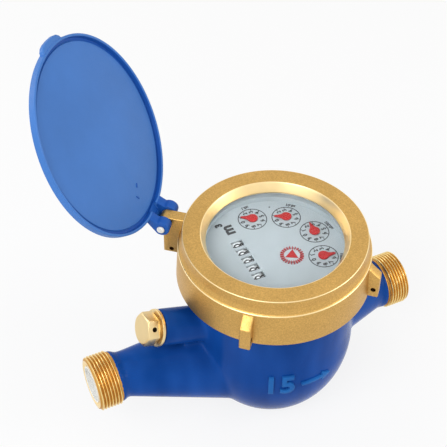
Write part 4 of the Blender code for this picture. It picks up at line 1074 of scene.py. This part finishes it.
class METER_OT_lid(bpy.types.Operator):
    """Mould the lid with its rim, ears and thumb tab, and set the hinge pin"""

    bl_idname = "meter.lid"
    bl_label = "Mould the lid"

    def execute(self, context):
        lid = self.disc()
        tools = [self.ear(EAR_MIDDLE), self.ear(-EAR_MIDDLE), self.strap(), self.tab()]
        tools += [self.mould_mark(-21.0, -0.4, 55.0), self.mould_mark(-17.4, 4.0, -20.0)]
        work_in(lid, "UNION", tools)
        self.clear_hinge(lid)
        coat(lid, "lid")
        # paints shade in the rim's groove, on the ears and on the mould marks with a darker blue
        repaint(lid, "lid_shade", self.deep)
        shift(lid, lid_frame())
        shade(lid, 30.0)
        hand_over(lid, "lid", "blue_plastic", "lid")
        self.pin()
        return {"FINISHED"}

    def deep(self, at):
        """True in the rim's groove, on the ears and on the mould's marks, which get a darker blue as painted shade.
        """
        radius = math.hypot(at.x + HINGE_RADIUS, at.y)
        groove = 43.3 < radius < 44.9 and 2.5 < at.z < 4.7
        mark = radius < 40.0 and at.z < LID_FLOOR - 0.05
        return groove or mark or (radius > LID_RADIUS + 0.1 and at.x > -8.0)

    def disc(self):
        """The round shell: crowned outside, with a stepped rim inside."""
        crown = [(LID_RADIUS * s, 5.6 + 1.0 * (1.0 - s * s)) for s in (0.15, 0.3, 0.45, 0.6, 0.75, 0.88)]
        outside = [(0.0, 6.6)] + crown + [(LID_RADIUS, 5.5), (LID_RADIUS, 2.1), (45.1, 2.1)]
        inside = [(44.8, 2.4), (44.6, 4.55), (43.2, 4.55), (42.9, LID_FLOOR), (0.0, LID_FLOOR)]
        profile = rounded(outside, 0.45, 4, ring=False) + rounded(inside, 0.25, 3, ring=False)
        return shift(lathe("lid_shell", profile, 224), moved(-HINGE_RADIUS, 0.0, 0.0))

    def ear(self, middle):
        outline = [(-7.6, 4.9), (-7.6, 2.1), (-EAR_RADIUS, 0.0)]
        outline += arc((0.0, 0.0), EAR_RADIUS, -180.0, 60.0, 25)[1:]
        piece = plate("ear", outline, middle - 2.5, middle + 2.5)
        break_edges(piece, 0.0005)
        return shift(piece, turned(90.0, "X"))

    def strap(self):
        """The bridge between the ears."""
        outline = [(-7.6, 3.05), (-0.6, 3.05), (-0.6, 4.95), (-7.6, 4.9)]
        return shift(plate("strap", outline, -3.5, 3.5), turned(90.0, "X"))

    def tab(self):
        """The thumb tab, opposite the hinge."""
        side = [(-44.9, 8.8), (-46.6, 8.1), (-47.8, 6.4), (-48.4, 4.0)]
        outline = [(-44.9, -8.8)] + side + [(-48.6, 0.0)] + [(x, -y) for x, y in side[:0:-1]]
        piece = plate("tab", outline, 2.4, 4.9)
        break_edges(piece, 0.0006)
        return shift(piece, moved(-HINGE_RADIUS, 0.0, 0.0) @ turned(8.5))

    def mould_mark(self, x, y, lean):
        """A small raised stroke that the mould left on the inner face."""
        piece = plate("mould_mark", [(-1.0, -0.3), (1.0, -0.3), (1.0, 0.3), (-1.0, 0.3)], 3.4, 4.0)
        return shift(piece, moved(x, y, 0.0) @ turned(lean))

    def clear_hinge(self, lid):
        """Cuts the rim away round the ring's lug and drills the ears."""
        notch = plate("notch", [(-9.4, -3.1), (-3.8, -3.1), (-3.8, 3.1), (-9.4, 3.1)], 0.5, 3.65)
        work_in(lid, "DIFFERENCE", [notch, shift(lathe("drill", bar(PIN_HOLE, -14.0, 14.0), 32), turned(90.0, "X"))])

    def pin(self):
        """A moulded pin with a domed head, pushed through from the front."""
        profile = [(0.0, 8.5), (1.1, 8.5), (1.3, 8.3), (1.3, -8.5), (1.8, -8.5), (1.75, -9.0), (1.3, -9.4),
                   (0.0, -9.5)]
        pin = shift(lathe("domed_pin", profile, 48, finish("white")), pin_frame())
        shade(pin, 35.0)
        hand_over(pin, "meter", "white_plastic", "hinge_pin")


# The dial


class METER_OT_print(bpy.types.Operator):
    """Print the small dials, their figures and the unit on the dial"""

    bl_idname = "meter.print_dial"
    bl_label = "Print the dial"

    def execute(self, context):
        sizes = context.scene.meter_dial
        parts = []
        for index, place in enumerate(pointer_places()):
            parts += self.small_dial(*place, sizes)
            parts.append(self.multiplier(index, *place))
        parts.append(self.word("m", 5.6, -13.6, 20.6, 0.34))
        parts.append(self.word("3", 3.2, -16.4, 25.1, 0.28))
        dot = lathe("dot", bar(0.4, PRINT_BASE, PRINT_BASE + PRINT_THICKNESS), 16, finish("ink"))
        parts.append(shift(dot, moved(10.7, 26.4, 0.0)))
        sheet = gather(parts[0], parts[1:])
        sheet.name = "dial_print"
        hand_over(sheet, "meter", "dial_grey")
        self.bezel()
        return {"FINISHED"}

    def bezel(self):
        """The pale rim between the dial and the glass."""
        profile = [(32.7, 88.13), (33.2, 88.13), (33.2, 90.74), (38.6, 90.74), (38.6, 90.92), (32.7, 90.92)]
        rim = shade(lathe("dial_bezel", profile, 160, finish("dial"), ring=True))
        hand_over(rim, "meter", "dial_grey")

    def line(self, radius, width):
        inner, outer = radius - width / 2.0, radius + width / 2.0
        profile = [(inner, PRINT_BASE), (outer, PRINT_BASE),
                   (outer, PRINT_BASE + PRINT_THICKNESS), (inner, PRINT_BASE + PRINT_THICKNESS)]
        return lathe("line", profile, 72, finish("ink"), ring=True)

    def small_dial(self, x, y, sizes):
        """One circle with its marks inside it and the figures 0 to 9 round it."""
        radius = sizes.circle / MM
        parts = [
            shift(self.line(radius, sizes.line / MM), moved(x, y, 0.0)),
            marks(sizes.ticks, radius - 0.5, (1.0, 0.34, PRINT_THICKNESS), (x, y, PRINT_BASE + 0.02), finish("ink")),
        ]
        for figure in range(10):
            across, along = polar(radius - 1.9, 180.0 - 36.0 * figure)
            parts.append(self.word(str(figure), sizes.figure / MM * 0.8, x + across, y + along, 0.12))
        return parts

    def multiplier(self, index, x, y):
        """The value of one small dial, beside it on the side of the rim."""
        heading = math.degrees(math.atan2(y, x))
        place = polar(POINTER_CIRCLE + 8.3, heading)
        return self.word("x0." + "0" * (3 - index) + "1", 1.5, *place, 0.11, heading)

    def word(self, text, height, x, y, weight, heading=0.0):
        return shift(letters(text, height, PRINT_THICKNESS, finish("ink"), weight),
                     dial_frame(x, y, PRINT_BASE + 0.02, heading))


class METER_OT_pointers(bpy.types.Operator):
    """Mould the four red pointers"""

    bl_idname = "meter.pointers"
    bl_label = "Mould the pointers"

    def execute(self, context):
        for index, place in enumerate(pointer_places()):
            pointer = self.pointer(POINTER_HEADINGS[index])
            pointer.name = f"red_pointer_{index + 1}"
            shift(pointer, moved(*place, 0.0))
            hand_over(pointer, f"pointer_{index + 1}", "red_plastic", f"pointer_{index + 1}")
        return {"FINISHED"}

    def pointer(self, heading):
        """A round hub drawn out to a narrow tip, with a small cap on its arbor."""
        outline = arc((0.0, 0.0), 2.5, 34.0, 326.0, 40)
        outline += [(2.9, -0.95), (5.7, -0.25), (5.7, 0.25), (2.9, 0.95)]
        piece = plate("pointer", outline, POINTER_BASE, 89.25, finish("red"))
        break_edges(piece, 0.0002)
        gather(piece, [lathe("cap", rounded(bar(0.9, 89.2, 89.3), 0.08), 32, finish("red"))])
        return shade(shift(piece, turned(heading)), 30.0)


class METER_OT_star(bpy.types.Operator):
    """Make the flow star: a pale disc with red teeth and a red triangle"""

    bl_idname = "meter.star"
    bl_label = "Make the flow star"

    def execute(self, context):
        x, y = STAR_CENTRE
        disc = lathe("flow_disc", rounded(bar(3.9, POINTER_BASE, 88.85), 0.15), 72, finish("dial"))
        shade(shift(disc, moved(x, y, 0.0)))
        hand_over(disc, "star", "dial_grey")
        star = marks(context.scene.meter_dial.teeth, STAR_CIRCLE, (1.9, 0.42, 0.5), (x, y, 88.66), finish("red"))
        corners = [polar(TRIANGLE_RADIUS, angle) for angle in (60.0, 180.0, 300.0)]
        gather(star, [shift(plate("triangle", corners, 88.8, 89.0, finish("red")), moved(x, y, 0.0))])
        star.name = "flow_star"
        hand_over(star, "star", "red_plastic", "star_wheel")
        return {"FINISHED"}


class METER_OT_drums(bpy.types.Operator):
    """Mould the number drums with the figures 0 to 9 round each"""

    bl_idname = "meter.drums"
    bl_label = "Make the number drums"

    def execute(self, context):
        for index in range(5):
            y = (2 - index) * DRUM_PITCH
            drum = self.drum(y - 2.3, y + 2.3)
            drum.name = f"number_drum_{index + 1}"
            figures = [self.figure(number, y) for number in range(10)]
            band = gather(figures[0], figures[1:])
            band.name = f"drum_figures_{index + 1}"
            hand_over(drum, f"number_wheel_{index + 1}", "white_plastic", f"number_wheel_{index + 1}")
            hand_over(band, f"number_wheel_{index + 1}", "white_plastic")
        return {"FINISHED"}

    def drum(self, low, high):
        """One drum, a little smaller than the circle that its figures lie on."""
        radius = DRUM_RADIUS - 0.03
        profile = rounded([(0.85, low), (radius, low), (radius, high), (0.85, high)], 0.2)
        piece = shift(lathe("drum", profile, 80, finish("drum"), ring=True), turned(-90.0, "X"))
        return shade(shift(piece, moved(DRUM_ROW, 0.0, DRUM_HEIGHT)))

    def figure(self, number, y):
        """One figure, bent round the drum. The figure 0 is at the top."""
        def onto(flat):
            turn = math.radians(36.0 * number) + flat.y / DRUM_RADIUS
            radius = DRUM_RADIUS + flat.z
            return (DRUM_ROW - radius * math.sin(turn), y + flat.x * 1.15,
                    DRUM_HEIGHT + radius * math.cos(turn))
        return bend(refine(letters(str(number), 3.0, 0.05, finish("ink"), 0.12), 0.8), onto)


class METER_OT_glass(bpy.types.Operator):
    """Cut the round glass with its edge rounded"""

    bl_idname = "meter.glass"
    bl_label = "Cut the glass"

    def execute(self, context):
        glass = lathe("round_glass", rounded(bar(37.5, 91.0, 95.5), 0.6, 6), 160, finish("glass"))
        shade(glass)
        hand_over(glass, "meter", "glass", "glass")
        return {"FINISHED"}


class METER_OT_inside(bpy.types.Operator):
    """Give every piece of the frame that still shows its own finish"""

    bl_idname = "meter.inside"
    bl_label = "Finish the inside"

    def execute(self, context):
        by_name = {
            "dial_plate": "dial", "glass_gasket": "rubber", "plug_washer": "rubber", "pivot_pin": "steel",
            "number_shaft": "steel", "star_arbor": "grey", "register_case": "grey", "upper_plate": "grey",
            "regulating_screw": "turned", "slip_washer": "white",
        }
        for name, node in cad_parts.items():
            chosen = by_name.get(name, "grey" if "gear" in name else "white")
            for slot in node.material_slots:
                slot.material = finish(chosen)
            if not node.material_slots:
                raise RuntimeError(f"{name} has no place for a finish")
        return {"FINISHED"}


# Stage


def seen_share(tree):
    """One for the rays that show the background: the camera's, and those off metal and through glass."""
    ray = tree_node(tree, "ShaderNodeLightPath").outputs
    return reckon(tree, "MAXIMUM", ray["Is Camera Ray"],
                  reckon(tree, "MAXIMUM", ray["Is Glossy Ray"], ray["Is Transmission Ray"]))


class METER_OT_stage(bpy.types.Operator):
    """Set the floor, the soft lamps, the background and the camera"""

    bl_idname = "meter.stage"
    bl_label = "Set the stage"

    def execute(self, context):
        self.floor(4000.0)
        for lamp in LAMPS:
            self.lamp(*lamp)
        self.background(context.scene)
        self.camera(context.scene)
        context.scene.view_settings.view_transform = "Standard"
        return {"FINISHED"}

    def floor(self, size):
        """A pale floor that shows as white paper and still takes the object's shadow."""
        corners = [(-size, -size, 0.0), (size, -size, 0.0), (size, size, 0.0), (-size, size, 0.0)]
        floor = shape("floor", corners, [[0, 1, 2, 3]])
        material, tree = new_finish("pale_floor", roughness=0.9)
        specks = noise(tree, place_on(tree), 9.0, 2.0)
        tree.links.new(blended(tree, specks, (0.80, 0.80, 0.80, 1.0), (0.82, 0.82, 0.82, 1.0)),
                       shader_of(material).inputs["Base Color"])
        share = reckon(tree, "MULTIPLY", seen_share(tree), PAPER_SHARE)
        overlay(material, share, tree_node(tree, "ShaderNodeEmission", inputs={"Strength": 1.0}))
        floor.data.materials.append(material)

    def lamp(self, name, place, width, height, power):
        light = bpy.data.lights.new(name, "AREA")
        light.shape = "RECTANGLE"
        light.size = width
        light.size_y = height
        light.energy = power
        holder = bpy.data.objects.new(name, light)
        holder.location = place
        holder.rotation_euler = (Vector(LAMP_AIM) - Vector(place)).to_track_quat("-Z", "Y").to_euler()
        bpy.context.scene.collection.objects.link(holder)

    def background(self, scene):
        """White where it is seen, and plain soft light on everything else."""
        world = bpy.data.worlds.new("studio")
        world.use_nodes = True
        tree = world.node_tree
        tree.nodes.clear()
        lit = tree_node(tree, "ShaderNodeBackground", inputs={"Color": WHITE, "Strength": WORLD_LIGHT})
        paper = tree_node(tree, "ShaderNodeBackground", inputs={"Color": WHITE, "Strength": 1.0})
        mixed = tree_node(tree, "ShaderNodeMixShader",
                          inputs={0: seen_share(tree), 1: lit.outputs[0], 2: paper.outputs[0]})
        tree_node(tree, "ShaderNodeOutputWorld", inputs={0: mixed.outputs[0]})
        scene.world = world

    def camera(self, scene):
        data = bpy.data.cameras.new("camera")
        data.sensor_width = 36.0
        data.lens = CAMERA_LENS
        data.clip_start = 0.01
        data.clip_end = 50.0
        camera = bpy.data.objects.new("camera", data)
        right = Vector(CAMERA_RIGHT).normalized()
        ahead = Vector(CAMERA_AHEAD).normalized()
        camera.matrix_world = stand(CAMERA_PLACE, right, right.cross(ahead), -ahead)
        scene.collection.objects.link(camera)
        scene.camera = camera


class METER_PT_sidebar(bpy.types.Panel):
    """Lists the sizes, the colours and the steps that make the meter"""

    bl_label = "Water Meter"
    bl_idname = "METER_PT_sidebar"
    bl_space_type = "VIEW_3D"
    bl_region_type = "UI"
    bl_category = "Water Meter"

    def draw(self, context):
        layout = self.layout
        for name in GROUPS:
            group = getattr(context.scene, name)
            for setting in group.__annotations__:
                layout.prop(group, setting)
        for operator in OPERATORS:
            layout.operator(operator.bl_idname)


OPERATORS = (
    METER_OT_finishes, METER_OT_body, METER_OT_pipe_ends, METER_OT_ring, METER_OT_plug, METER_OT_lid,
    METER_OT_print, METER_OT_pointers, METER_OT_star, METER_OT_drums, METER_OT_glass, METER_OT_inside,
    METER_OT_stage,
)
GROUPS = {
    "meter_casting": CastingSizes,
    "meter_brass": BrassSizes,
    "meter_dial": DialSizes,
    "meter_colours": MeterColours,
}


def register():
    for name, group in GROUPS.items():
        bpy.utils.register_class(group)
        setattr(bpy.types.Scene, name, PointerProperty(type=group))
    for operator in OPERATORS:
        bpy.utils.register_class(operator)
    bpy.utils.register_class(METER_PT_sidebar)


def unregister():
    bpy.utils.unregister_class(METER_PT_sidebar)
    for operator in reversed(OPERATORS):
        bpy.utils.unregister_class(operator)
    for name, group in reversed(list(GROUPS.items())):
        delattr(bpy.types.Scene, name)
        bpy.utils.unregister_class(group)


def main():
    register()
    bpy.ops.meter.finishes()
    bpy.ops.meter.body()
    bpy.ops.meter.pipe_ends()
    bpy.ops.meter.ring()
    bpy.ops.meter.plug()
    bpy.ops.meter.lid()
    bpy.ops.meter.print_dial()
    bpy.ops.meter.pointers()
    bpy.ops.meter.star()
    bpy.ops.meter.drums()
    bpy.ops.meter.glass()
    bpy.ops.meter.inside()
    bpy.ops.meter.stage()


if __name__ == "__main__":
    main()
